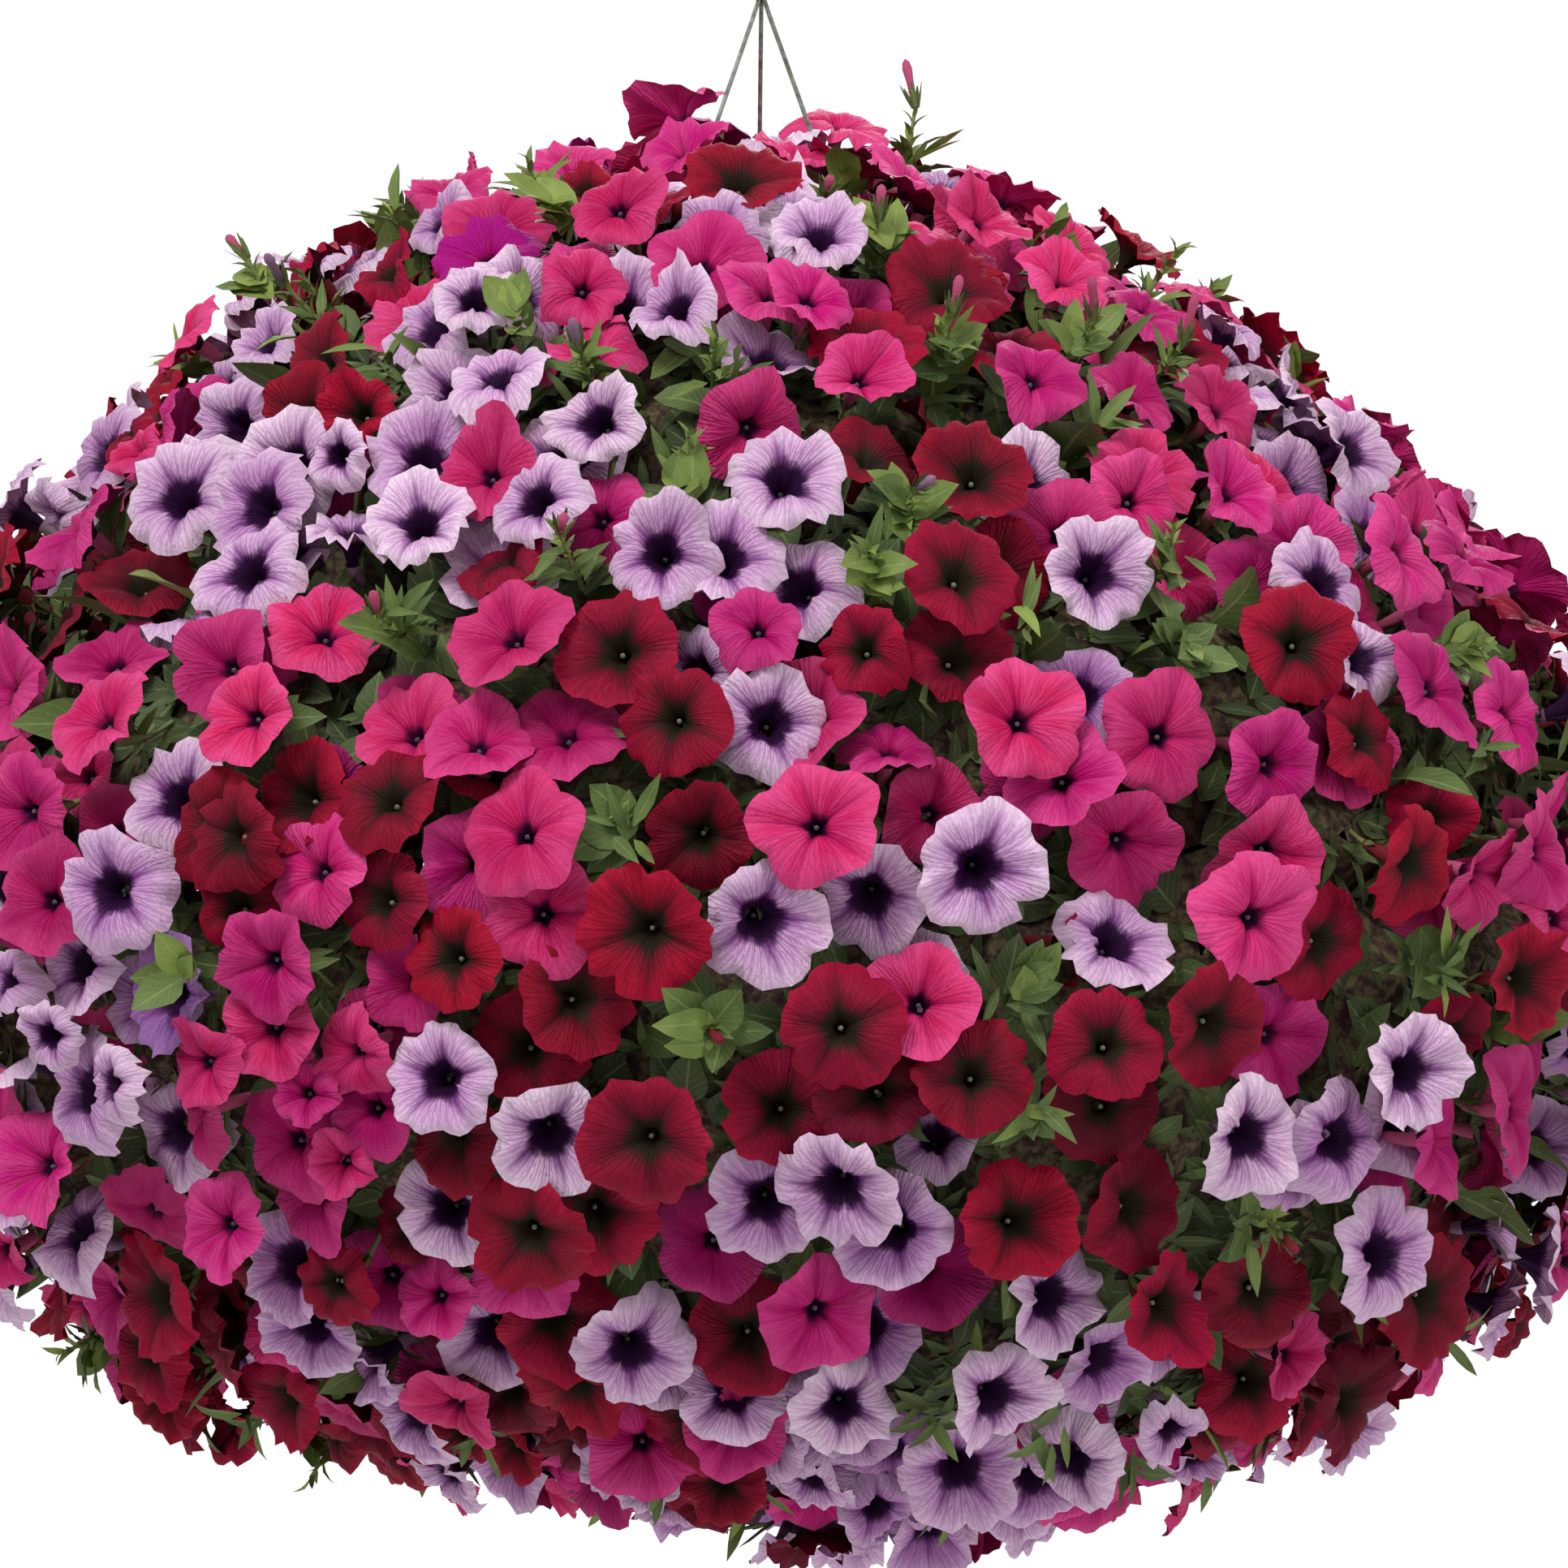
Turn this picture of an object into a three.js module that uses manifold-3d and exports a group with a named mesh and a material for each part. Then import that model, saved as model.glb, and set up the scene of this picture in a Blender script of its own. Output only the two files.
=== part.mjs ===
import * as THREE from 'three';
import { ConvexHull } from 'three/addons/math/ConvexHull.js';
import { mergeVertices } from 'three/addons/utils/BufferGeometryUtils.js';
import Module from 'manifold-3d';

const wasm = await Module();
wasm.setup();

// Millimetres, +Z up. The origin is the inside top of the hook that the basket hangs by.
// The plants make one round mass about the upright axis, and the pot is hidden inside it.

// Plant mass: an egg-shaped outline turned about the axis, widest at its waist
const WAIST_Z = -490;
const WAIST_RADIUS = 425;
const CROWN_HEIGHT = 360;
const SKIRT_HEIGHT = 284;
const CROWN_FULLNESS = 1.62;
const SKIRT_FULLNESS = 2.2;
const SWELL = {
  height: 9, broadTurns: 3, broadRise: 2.3, broadStart: 0.7, riseStart: 0.4,
  fineTurns: 5, fineRise: 2.6, fineShare: 0.6, slant: 36,
};

// The crown lies lower in front of the right-hand wire, which shows there
const PARTING = { x: 26, y: -75, z: -170, depth: 40, width: 62 };

// Depths below the outline
const CUSHION_DEPTH = 46;
const CUSHION_EDGE_DEPTH = 60;
const CUSHION_BACK_DEPTH = 95;
const STEM_END_SHARE = { depth: 0.02, spread: 0.004 };

// Blooms: trumpets with five shallow lobes, spread evenly over the mass
const BLOOM_COUNT = 436;
const BLOOM_RADIUS = { least: 27, most: 31.5 };
const BLOOM_SINK = 15;
const BLOOM_GAP = 0.8;
const BLOOM_WIRE_CLEAR = 1;
const BLOOM_LEAST_SHARE = 0.6;
const SPREAD = { rounds: 70, reach: 84, push: 0.2 };
const BLOOM_TILT = 0.26;
const BLOOM_LIFT = 0.1;
const BLOOM_LEVEL = { crown: 0.5, skirt: 0.4 };
const THROAT_SHARE = 0.34;
const TRUMPET_SPREAD = 1.1;
const RIM_POINTS = 10;
const FOOT_RADIUS = 3;

// Leaves stand in the gaps between blooms
const LEAF_HALF_WIDTH = { least: 6.5, most: 13 };
const LEAF_THICKNESS = 1.6;
const LEAF_WIDEST = 0.56;
const LEAF_TIP_DEPTH = { least: -9, most: 12 };
const LEAF_TRIES = 16000;
const LEAF_LIMIT = 112;
const LEAF_SPACING = 36;
const LEAF_SEARCH = 90;
const LEAF_CLEAR = 2.2;
const LEAF_WIRE_CLEAR = 26;

// Stems
const STEM_RADIUS = 3;
const STEM_GAP = 0.3;
const BORE_DEPTH = 28;
const LEAN = 0.16;
const SHRINK = 0.03;

// Pot and soil
const POT = {
  rimZ: -480, rimRadius: 152, baseZ: -660, baseRadius: 108, wall: 2.4, lip: 8, lipThickness: 2.6,
};
const POT_SIDES = 24;
const SOIL_DROP = 16;
const SOIL_GAP = 0.3;
const DRAIN = { count: 4, radius: 5, ringRadius: 62 };
const HOLE = { reach: 6, sides: 8 };
const LIP_SEAT = 2;
const WALL_GAP = 0.1;
const BORE_RISE = 5;
const STEM_RISE = 6;

// Hanger: a hook, a crimped sleeve and three wires
const HOOK = {
  wire: 1.75, inner: 18, tipAngle: -20, neckAngle: 240, neckShare: 0.35, neckDrop: 6, shank: 8,
  sides: 8, steps: 28,
};
const SLEEVE = { topZ: -60, bottomZ: -92, outer: 4.4, shankEndZ: -74, step: 1, sides: 16 };
const WIRE = {
  radius: 1.1, offset: 1.6, azimuths: [-28, 92, 212], startZ: -75.5, flare: [3, -9], hang: 9,
  bend: [3.5, 8], drop: 3, curl: 5, curlSeat: 2.4, endRise: 4, play: 1, sides: 6,
};
const CLEAR = 0.3;

// Sprays: rings of flowering shoots from the crown to the underside. Each shoot runs in the
// upright plane of its own spray: the way is listed as [radius, height] from the soil outward.
const SOIL_Z = POT.rimZ - SOIL_DROP;
const RINGS = [
  { name: 'crown', count: 3, polar: 20, phase: 60, hole: 38, way: [] },
  { name: 'shoulder', count: 9, polar: 45, phase: 20, hole: 70, way: [[72, -455]] },
  { name: 'upper', count: 12, polar: 73, phase: 15, hole: 98, way: [[98, -452], [150, -438]] },
  { name: 'waist', count: 15, polar: 103.6, phase: 12, hole: 112,
    way: [[112, -472], [146, -458], [190, -470]] },
  { name: 'lower', count: 9, polar: 135, phase: 24, hole: 125,
    way: [[125, -468], [152, -457], [176, -472], [186, -560]] },
  { name: 'under', count: 3, polar: 160, phase: 44, hole: 125,
    way: [[125, -466], [150, -454], [170, -468], [170, -600], [142, -668]], back: [92, -690] },
];

// Colours of bloom: how deep the notches between lobes are, and how common each colour is
const VARIETIES = {
  pink: { color: 0xd92a6c, notch: 0.91, share: 0.5 },
  red: { color: 0xb5122c, notch: 0.85, share: 0.42 },
  violet: { color: 0xcdb2dc, notch: 0.79, share: 0.62 },
};

// Where each colour gathers in the mass, as seen from the front: place and reach
const DRIFT_SHARE = 1.5;
const DRIFT_BACK_Y = 60;
const DRIFTS = [
  { variety: 'pink', x: 40, z: -190, reach: 95 },
  { variety: 'pink', x: -330, z: -420, reach: 90 },
  { variety: 'pink', x: -60, z: -450, reach: 75 },
  { variety: 'pink', x: 300, z: -500, reach: 95 },
  { variety: 'pink', x: 150, z: -280, reach: 70 },
  { variety: 'pink', x: -230, z: -590, reach: 100 },
  { variety: 'red', x: 210, z: -390, reach: 90 },
  { variety: 'red', x: -220, z: -310, reach: 80 },
  { variety: 'red', x: 110, z: -490, reach: 80 },
  { variety: 'red', x: -210, z: -720, reach: 90 },
  { variety: 'violet', x: -160, z: -370, reach: 90 },
  { variety: 'violet', x: 90, z: -640, reach: 110 },
  { variety: 'violet', x: 260, z: -660, reach: 90 },
  { variety: 'violet', x: -260, z: -260, reach: 80 },
];

const DEG = Math.PI / 180;
const CENTRE = new THREE.Vector3(0, 0, WAIST_Z);
const random = seededRandom(4107);

function seededRandom(seed) {
  let state = seed >>> 0;
  return () => {
    state = (state + 0x6d2b79f5) >>> 0;
    let mixed = Math.imul(state ^ (state >>> 15), 1 | state);
    mixed = (mixed + Math.imul(mixed ^ (mixed >>> 7), 61 | mixed)) ^ mixed;
    return ((mixed ^ (mixed >>> 14)) >>> 0) / 4294967296;
  };
}

function between(low, high) {
  return low + (high - low) * random();
}

function randomDirection() {
  const height = between(-1, 1);
  const turn = between(0, 2 * Math.PI);
  const flat = Math.sqrt(1 - height * height);
  return new THREE.Vector3(flat * Math.cos(turn), flat * Math.sin(turn), height);
}

function polarDirection(polarDegrees, azimuthDegrees) {
  return new THREE.Vector3().setFromSphericalCoords(1, polarDegrees * DEG, 0)
    .applyAxisAngle(new THREE.Vector3(1, 0, 0), Math.PI / 2)
    .applyAxisAngle(new THREE.Vector3(0, 0, 1), (azimuthDegrees + 90) * DEG);
}

// Distance from the centre of the mass to its outline along a direction. The outline is drawn in
// at the upper right and the lower left.
function outlineDistance(direction) {
  const upper = direction.z >= 0;
  const power = upper ? CROWN_FULLNESS : SKIRT_FULLNESS;
  const height = upper ? CROWN_HEIGHT : SKIRT_HEIGHT;
  const flat = Math.hypot(direction.x, direction.y);
  const plain = ((flat / WAIST_RADIUS) ** power + (Math.abs(direction.z) / height) ** power) ** (-1 / power);
  const turn = Math.atan2(direction.y, direction.x);
  const around = Math.sin(SWELL.broadTurns * turn + SWELL.broadStart);
  const broad = around * Math.sin(SWELL.broadRise * direction.z + SWELL.riseStart);
  const fine = SWELL.fineShare * Math.sin(SWELL.fineTurns * turn - SWELL.fineRise * direction.z);
  const slant = SWELL.slant * Math.max(direction.x * direction.z, 0);
  return plain + SWELL.height * flat * (broad + fine) - slant - partingDepth(direction, plain);
}

function partingDepth(direction, distance) {
  const place = direction.clone().multiplyScalar(distance).add(CENTRE);
  const away = place.distanceTo(new THREE.Vector3(PARTING.x, PARTING.y, PARTING.z));
  return PARTING.depth * Math.exp(-((away / PARTING.width) ** 2));
}

function atDepth(direction, depth) {
  return direction.clone().multiplyScalar(outlineDistance(direction) - depth).add(CENTRE);
}

// Outward normal of the plain outline
function outlineNormal(direction) {
  const upper = direction.z >= 0;
  const power = upper ? CROWN_FULLNESS : SKIRT_FULLNESS;
  const height = upper ? CROWN_HEIGHT : SKIRT_HEIGHT;
  const flat = Math.max(Math.hypot(direction.x, direction.y), 1e-6);
  const outward = (flat / WAIST_RADIUS) ** (power - 1) / WAIST_RADIUS;
  const upward = Math.sign(direction.z) * (Math.abs(direction.z) / height) ** (power - 1) / height;
  return new THREE.Vector3(outward * direction.x / flat, outward * direction.y / flat, upward).normalize();
}

// Two directions square to an axis
function sideways(axis) {
  const helper = Math.abs(axis.z) < 0.9 ? new THREE.Vector3(0, 0, 1) : new THREE.Vector3(1, 0, 0);
  const first = helper.clone().cross(axis).normalize();
  const second = axis.clone().cross(first);
  return [first, second];
}

function meshGeometry(vertices, triangles) {
  const geometry = new THREE.BufferGeometry();
  const positions = vertices.flatMap((v) => [v.x, v.y, v.z]);
  geometry.setAttribute('position', new THREE.Float32BufferAttribute(positions, 3));
  geometry.setIndex(triangles.flat());
  return geometry;
}

function paint(color, roughness, metalness = 0) {
  return new THREE.MeshStandardMaterial({ color, roughness, metalness, flatShading: true });
}

function named(name, geometry, material) {
  const mesh = new THREE.Mesh(geometry, material);
  mesh.name = name;
  return mesh;
}

// Solids for cutting
function solidOf(geometry) {
  const bare = geometry.clone();
  bare.deleteAttribute('normal');
  bare.deleteAttribute('uv');
  const merged = mergeVertices(bare, 1e-4);
  return new wasm.Manifold(new wasm.Mesh({
    numProp: 3,
    vertProperties: new Float32Array(merged.attributes.position.array),
    triVerts: new Uint32Array(merged.index.array),
  }));
}

function geometryOf(solid) {
  const mesh = solid.getMesh();
  const geometry = new THREE.BufferGeometry();
  geometry.setAttribute('position', new THREE.Float32BufferAttribute(mesh.vertProperties, 3));
  geometry.setIndex(new THREE.Uint32BufferAttribute(mesh.triVerts, 1));
  return geometry;
}

// A turned solid from [radius, height] points
function turned(profile, sides) {
  const points = profile.map(([radius, height]) => new THREE.Vector2(radius, height));
  return new THREE.LatheGeometry(points, sides).rotateX(Math.PI / 2);
}

// A round rod along a curve
function rod(curve, radius, sides, steps) {
  const section = new THREE.Shape();
  for (let k = 0; k < sides; k += 1) {
    const turn = (2 * Math.PI * k) / sides;
    const x = radius * Math.cos(turn);
    const y = radius * Math.sin(turn);
    if (k === 0) section.moveTo(x, y);
    else section.lineTo(x, y);
  }
  section.closePath();
  return new THREE.ExtrudeGeometry(section, { steps, extrudePath: curve, bevelEnabled: false });
}

// Stem ring: three points square to the stem, one of them in the plane of its spray
function stemRing(place, heading, across) {
  const inPlane = across.clone().cross(heading).normalize();
  return [0, 1, 2].map((k) => {
    const turn = (2 * Math.PI * k) / 3;
    return place.clone()
      .addScaledVector(inPlane, STEM_RADIUS * Math.cos(turn))
      .addScaledVector(across, STEM_RADIUS * Math.sin(turn));
  });
}

function makeSprayPlan() {
  const plan = [];
  for (const ring of RINGS) {
    for (let k = 0; k < ring.count; k += 1) {
      const azimuth = WIRE.azimuths[0] + ring.phase + (360 * k) / ring.count;
      plan.push({
        name: `spray_${ring.name}_${String(k + 1).padStart(2, '0')}`,
        ring,
        azimuth,
        axis: polarDirection(ring.polar, azimuth),
        corners: [],
        shoots: [],
      });
    }
  }
  return plan;
}

// Each spray owns the directions that are nearest to its axis
function giveCorners(plan) {
  const points = plan.map((spray) => spray.axis);
  const hull = new ConvexHull().setFromPoints(points);
  for (const face of hull.faces) {
    const normal = face.normal.clone().normalize();
    let edge = face.edge;
    do {
      plan[points.indexOf(edge.head().point)].corners.push(normal);
      edge = edge.next;
    } while (edge !== face.edge);
  }
}

function nearestSpray(plan, direction) {
  return plan.reduce((best, spray) => (spray.axis.dot(direction) > best.axis.dot(direction) ? spray : best));
}

// Directions lean from the outline towards the middle of their spray further down
function leanTo(direction, axis) {
  return direction.clone().lerp(axis, LEAN).normalize();
}

function wireLine(azimuthDegrees) {
  const outward = new THREE.Vector3(Math.cos(azimuthDegrees * DEG), Math.sin(azimuthDegrees * DEG), 0);
  const top = outward.clone().multiplyScalar(WIRE.offset).setZ(SLEEVE.bottomZ);
  const foot = outward.clone().multiplyScalar(POT.rimRadius).setZ(POT.rimZ + WIRE.hang);
  return new THREE.Line3(top, foot);
}

function distanceToWires(place) {
  const nearest = new THREE.Vector3();
  const distances = WIRE.azimuths.map((azimuth) => {
    wireLine(azimuth).closestPointToPoint(place, true, nearest);
    return nearest.distanceTo(place);
  });
  return Math.min(...distances) - WIRE.radius;
}

function pickVariety(place) {
  const names = Object.keys(VARIETIES);
  const weights = Object.fromEntries(names.map((name) => [name, VARIETIES[name].share]));
  if (place.y < DRIFT_BACK_Y) {
    for (const drift of DRIFTS) {
      const away = Math.hypot(place.x - drift.x, place.z - drift.z) / drift.reach;
      weights[drift.variety] += DRIFT_SHARE * Math.exp(-away * away);
    }
  }
  let draw = random() * (weights.pink + weights.red + weights.violet);
  const last = names[names.length - 1];
  return names.find((name) => {
    draw -= weights[name];
    return draw <= 0 || name === last;
  });
}

// Starts at random places and pushes close neighbours apart until the blooms are evenly spread
function spreadDirections() {
  const directions = Array.from({ length: BLOOM_COUNT }, randomDirection);
  for (let round = 0; round < SPREAD.rounds; round += 1) {
    const places = directions.map((direction) => atDepth(direction, 0));
    directions.forEach((direction, k) => {
      const push = new THREE.Vector3();
      places.forEach((other, n) => {
        const away = places[k].clone().sub(other);
        const distance = away.length();
        const crowded = n !== k && distance < SPREAD.reach;
        if (crowded) push.addScaledVector(away, (SPREAD.reach - distance) / distance);
      });
      direction.copy(places[k].addScaledVector(push, SPREAD.push).sub(CENTRE).normalize());
    });
  }
  return directions;
}

// Blooms keep clear of each other as balls round their rims
function placeBlooms(plan) {
  const blooms = spreadDirections().map((direction) => {
    const centre = atDepth(direction, BLOOM_SINK * random());
    return { direction, centre, variety: pickVariety(centre), kind: 'bloom' };
  });
  for (const bloom of blooms) {
    const others = blooms.filter((other) => other !== bloom);
    const distances = others.map((other) => other.centre.distanceTo(bloom.centre));
    const room = Math.min(...distances) / 2 - BLOOM_GAP / 2;
    const wish = between(BLOOM_RADIUS.least, BLOOM_RADIUS.most);
    bloom.radius = Math.min(room, distanceToWires(bloom.centre) - BLOOM_WIRE_CLEAR, wish);
  }
  const grown = blooms.filter((bloom) => bloom.radius > BLOOM_LEAST_SHARE * BLOOM_RADIUS.least);
  for (const bloom of grown) {
    const spray = nearestSpray(plan, bloom.direction);
    bloom.root = atDepth(leanTo(bloom.direction, spray.axis), CUSHION_DEPTH);
    spray.shoots.push(bloom);
  }
  return grown;
}

// How far a place is from the outside of a bloom's trumpet
function distanceToBloom(place, bloom) {
  const axis = new THREE.Line3(bloom.root, bloom.centre);
  const share = axis.closestPointToPointParameter(place, true);
  const radius = FOOT_RADIUS + (TRUMPET_SPREAD * bloom.radius - FOOT_RADIUS) * share;
  return axis.at(share, new THREE.Vector3()).distanceTo(place) - radius;
}

// A leaf's blade: its root, its two widest points and its tip
function leafBlade(spray, direction, halfWidth, tipDepth) {
  const root = atDepth(leanTo(direction, spray.axis), CUSHION_DEPTH);
  const tip = atDepth(direction, tipDepth);
  const along = tip.clone().sub(root).normalize();
  const turn = between(0, 2 * Math.PI);
  const [first, second] = sideways(along);
  const across = first.multiplyScalar(Math.cos(turn)).addScaledVector(second, Math.sin(turn));
  const widest = root.clone().lerp(tip, LEAF_WIDEST);
  const left = widest.clone().addScaledVector(across, halfWidth);
  const right = widest.clone().addScaledVector(across, -halfWidth);
  const keel = widest.clone().addScaledVector(across.clone().cross(along), LEAF_THICKNESS);
  return { root, tip, left, right, keel };
}

function bladePoints({ root, tip, left, right }) {
  const edges = [[root, left], [root, right], [left, tip], [right, tip]];
  return edges.flatMap(([from, to]) => [0.25, 0.5, 0.75, 1].map((share) => from.clone().lerp(to, share)));
}

function placeLeaves(plan, blooms) {
  const leaves = [];
  for (let k = 0; k < LEAF_TRIES && leaves.length < LEAF_LIMIT; k += 1) {
    const direction = randomDirection();
    const spray = nearestSpray(plan, direction);
    const halfWidth = between(LEAF_HALF_WIDTH.least, LEAF_HALF_WIDTH.most);
    const tipDepth = between(LEAF_TIP_DEPTH.least, LEAF_TIP_DEPTH.most);
    const blade = leafBlade(spray, direction, halfWidth, tipDepth);
    const points = bladePoints(blade);
    const near = blooms.filter((bloom) => bloom.centre.distanceTo(blade.tip) < LEAF_SEARCH);
    const room = Math.min(...near.flatMap((bloom) => points.map((point) => distanceToBloom(point, bloom))));
    const apart = leaves.every((other) => other.blade.tip.distanceTo(blade.tip) > LEAF_SPACING);
    if (room < LEAF_CLEAR || !apart || distanceToWires(blade.root) < LEAF_WIRE_CLEAR) continue;
    const leaf = { direction, blade, kind: 'leaf' };
    leaves.push(leaf);
    spray.shoots.push(leaf);
  }
}

// Way of a shoot from the back of its cushion down into the soil
function stemWay(spray) {
  const across = new THREE.Vector3(-Math.sin(spray.azimuth * DEG), Math.cos(spray.azimuth * DEG), 0);
  const inSpray = ([radius, height]) => new THREE.Vector3(radius * across.y, -radius * across.x, height);
  const back = spray.ring.back ? inSpray(spray.ring.back) : atDepth(spray.axis, CUSHION_BACK_DEPTH);
  const places = [back, ...spray.ring.way.map(inSpray).reverse()];
  places.push(inSpray([spray.ring.hole, SOIL_Z + STEM_RISE]));
  places.push(inSpray([spray.ring.hole, SOIL_Z - BORE_DEPTH]));
  return { places, across };
}

function stemRings(spray) {
  const { places, across } = stemWay(spray);
  return places.map((place, k) => {
    const before = places[Math.max(k - 1, 0)];
    const after = places[Math.min(k + 1, places.length - 1)];
    const upright = k >= places.length - 2;
    const towards = upright ? new THREE.Vector3(0, 0, -1) : after.clone().sub(before).normalize();
    return stemRing(place, towards, across);
  });
}

// The cushion of a spray: its feet and corners on the outside, its stem at the back
function cushionHull(feet, corners, spray, across) {
  const inward = across.clone().cross(spray.axis).normalize();
  const back = [0, 1, 2].map((k) => {
    const turn = (2 * Math.PI * k) / 3;
    return spray.axis.clone().multiplyScalar(STEM_END_SHARE.depth)
      .addScaledVector(inward, -STEM_END_SHARE.spread * Math.cos(turn))
      .addScaledVector(across, STEM_END_SHARE.spread * Math.sin(turn));
  });
  const points = [...feet, ...corners, ...back];
  const index = new Map(points.map((point, k) => [point, k]));
  const hull = new ConvexHull().setFromPoints(points);
  return hull.faces.map((face) => {
    const { edge } = face;
    return [edge, edge.next, edge.next.next].map((side) => index.get(side.head().point));
  });
}

// Three points round a shoot's foot, as directions from the centre of the mass. A leaf's first
// point lies on the side of its keel.
function footDirections(shoot, foot) {
  const [first, second] = sideways(foot);
  let facing = between(0, 2 * Math.PI);
  if (shoot.kind === 'leaf') {
    const keelSide = shoot.blade.keel.clone().multiplyScalar(2).sub(shoot.blade.left).sub(shoot.blade.right);
    facing = Math.atan2(keelSide.dot(second), keelSide.dot(first));
  }
  const spread = FOOT_RADIUS / (outlineDistance(foot) - CUSHION_DEPTH);
  return [0, 1, 2].map((k) => {
    const turn = facing + (2 * Math.PI * k) / 3;
    return foot.clone()
      .addScaledVector(first, spread * Math.cos(turn))
      .addScaledVector(second, spread * Math.sin(turn))
      .normalize();
  });
}

// Joins the three foot points to the ring of rim points, each rim edge to the foot point beside it
function bridge(foot, rim, footTurns, rimTurns) {
  const triangles = [];
  const turnGap = (a, b) => Math.abs(Math.atan2(Math.sin(a - b), Math.cos(a - b)));
  const nearestFoot = (turn) => {
    const gaps = footTurns.map((footTurn) => turnGap(turn, footTurn));
    return gaps.indexOf(Math.min(...gaps));
  };
  const owner = rim.map((_, k) => nearestFoot(rimTurns[k] + Math.PI / rim.length));
  rim.forEach((point, k) => {
    const next = (k + 1) % rim.length;
    triangles.push([foot[owner[k]], rim[next], point]);
    if (owner[k] !== owner[next]) triangles.push([foot[owner[k]], foot[owner[next]], rim[next]]);
  });
  return triangles;
}

// Blooms turn to the light, so they face more level than the outline does
function addBloom(bloom, footVertices, vertices, triangles) {
  const tilt = new THREE.Vector3(between(-1, 1), between(-1, 1), between(-1, 1)).multiplyScalar(BLOOM_TILT);
  const facing = outlineNormal(bloom.direction);
  facing.z = BLOOM_LIFT + facing.z * (facing.z > 0 ? BLOOM_LEVEL.crown : BLOOM_LEVEL.skirt);
  facing.normalize().add(tilt).normalize();
  const [first, second] = sideways(facing);
  const turnOf = (place) => {
    const away = place.clone().sub(bloom.centre);
    return Math.atan2(away.dot(second), away.dot(first));
  };
  const middle = footVertices.reduce((sum, k) => sum.add(vertices[k]), new THREE.Vector3()).divideScalar(3);
  const footTurns = footVertices.map((k) => turnOf(vertices[k].clone().sub(middle).add(bloom.centre)));
  const { notch } = VARIETIES[bloom.variety];
  const start = between(0, 2 * Math.PI);
  const rim = [];
  const rimTurns = [];
  for (let k = 0; k < RIM_POINTS; k += 1) {
    const turn = start + (2 * Math.PI * k) / RIM_POINTS;
    const reach = bloom.radius * (k % 2 === 0 ? 1 : notch);
    rimTurns.push(turn);
    rim.push(vertices.length);
    vertices.push(bloom.centre.clone()
      .addScaledVector(first, reach * Math.cos(turn))
      .addScaledVector(second, reach * Math.sin(turn)));
  }
  const throat = vertices.length;
  vertices.push(bloom.centre.clone().lerp(bloom.root, THROAT_SHARE));
  rim.forEach((point, k) => triangles.push([point, rim[(k + 1) % RIM_POINTS], throat]));
  triangles.push(...bridge(footVertices, rim, footTurns, rimTurns));
}

function addLeaf(leaf, footVertices, vertices, triangles) {
  const { root, tip, left, right, keel } = leaf.blade;
  const across = left.clone().sub(right).normalize();
  const ring = [keel, left, right].map((point) => vertices.push(point) - 1);
  if (vertices[footVertices[1]].clone().sub(root).dot(across) < 0) ring.splice(1, 2, ring[2], ring[1]);
  const tipVertex = vertices.push(tip) - 1;
  for (let k = 0; k < 3; k += 1) {
    const next = (k + 1) % 3;
    triangles.push([footVertices[k], footVertices[next], ring[next]]);
    triangles.push([footVertices[k], ring[next], ring[k]]);
    triangles.push([ring[k], ring[next], tipVertex]);
  }
}

function addStem(spray, ringStart, vertices, triangles) {
  const rings = stemRings(spray);
  let lastRing = [ringStart, ringStart + 1, ringStart + 2];
  for (const ring of rings.slice(1)) {
    const nextRing = ring.map((point) => vertices.push(point) - 1);
    for (let k = 0; k < 3; k += 1) {
      const next = (k + 1) % 3;
      triangles.push([lastRing[k], lastRing[next], nextRing[next]]);
      triangles.push([lastRing[k], nextRing[next], nextRing[k]]);
    }
    lastRing = nextRing;
  }
  triangles.push(lastRing);
}

function dominantVariety(spray) {
  const counts = { pink: 0, red: 0, violet: 0 };
  for (const shoot of spray.shoots) {
    if (shoot.kind === 'bloom') counts[shoot.variety] += 1;
  }
  return Object.keys(counts).reduce((best, name) => (counts[name] > counts[best] ? name : best));
}

function makeSpray(spray) {
  const feet = [];
  const footOf = new Map();
  for (const shoot of spray.shoots) {
    const foot = footDirections(shoot, leanTo(shoot.direction, spray.axis));
    footOf.set(shoot, [feet.length, feet.length + 1, feet.length + 2]);
    feet.push(...foot);
  }
  const corners = spray.corners.map((corner) => corner.clone().lerp(spray.axis, SHRINK).normalize());
  const rings = stemRings(spray);
  const { across } = stemWay(spray);
  const faces = cushionHull(feet, corners, spray, across);
  const vertices = [
    ...feet.map((direction) => atDepth(direction, CUSHION_DEPTH)),
    ...corners.map((direction) => atDepth(direction, CUSHION_EDGE_DEPTH)),
    ...rings[0],
  ];
  const backStart = feet.length + corners.length;
  const footCount = (face) => new Set(face.map((k) => Math.floor(k / 3))).size;
  const isFoot = (face) => face.every((k) => k < feet.length) && footCount(face) === 1;
  const isBack = (face) => face.every((k) => k >= backStart);
  const triangles = faces.filter((face) => !isFoot(face) && !isBack(face));
  for (const shoot of spray.shoots) {
    const foot = footOf.get(shoot);
    if (shoot.kind === 'bloom') addBloom(shoot, foot, vertices, triangles);
    else addLeaf(shoot, foot, vertices, triangles);
  }
  addStem(spray, backStart, vertices, triangles);
  const { color } = VARIETIES[dominantVariety(spray)];
  return named(spray.name, meshGeometry(vertices, triangles), paint(color, 0.6));
}

// Pot: a thin tapered shell with a flat lip that the wires hook through
function wallRadius(height) {
  const rise = (height - POT.baseZ) / (POT.rimZ - POT.baseZ);
  return POT.baseRadius + (POT.rimRadius - POT.lip / 2 - POT.baseRadius) * rise;
}

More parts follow.
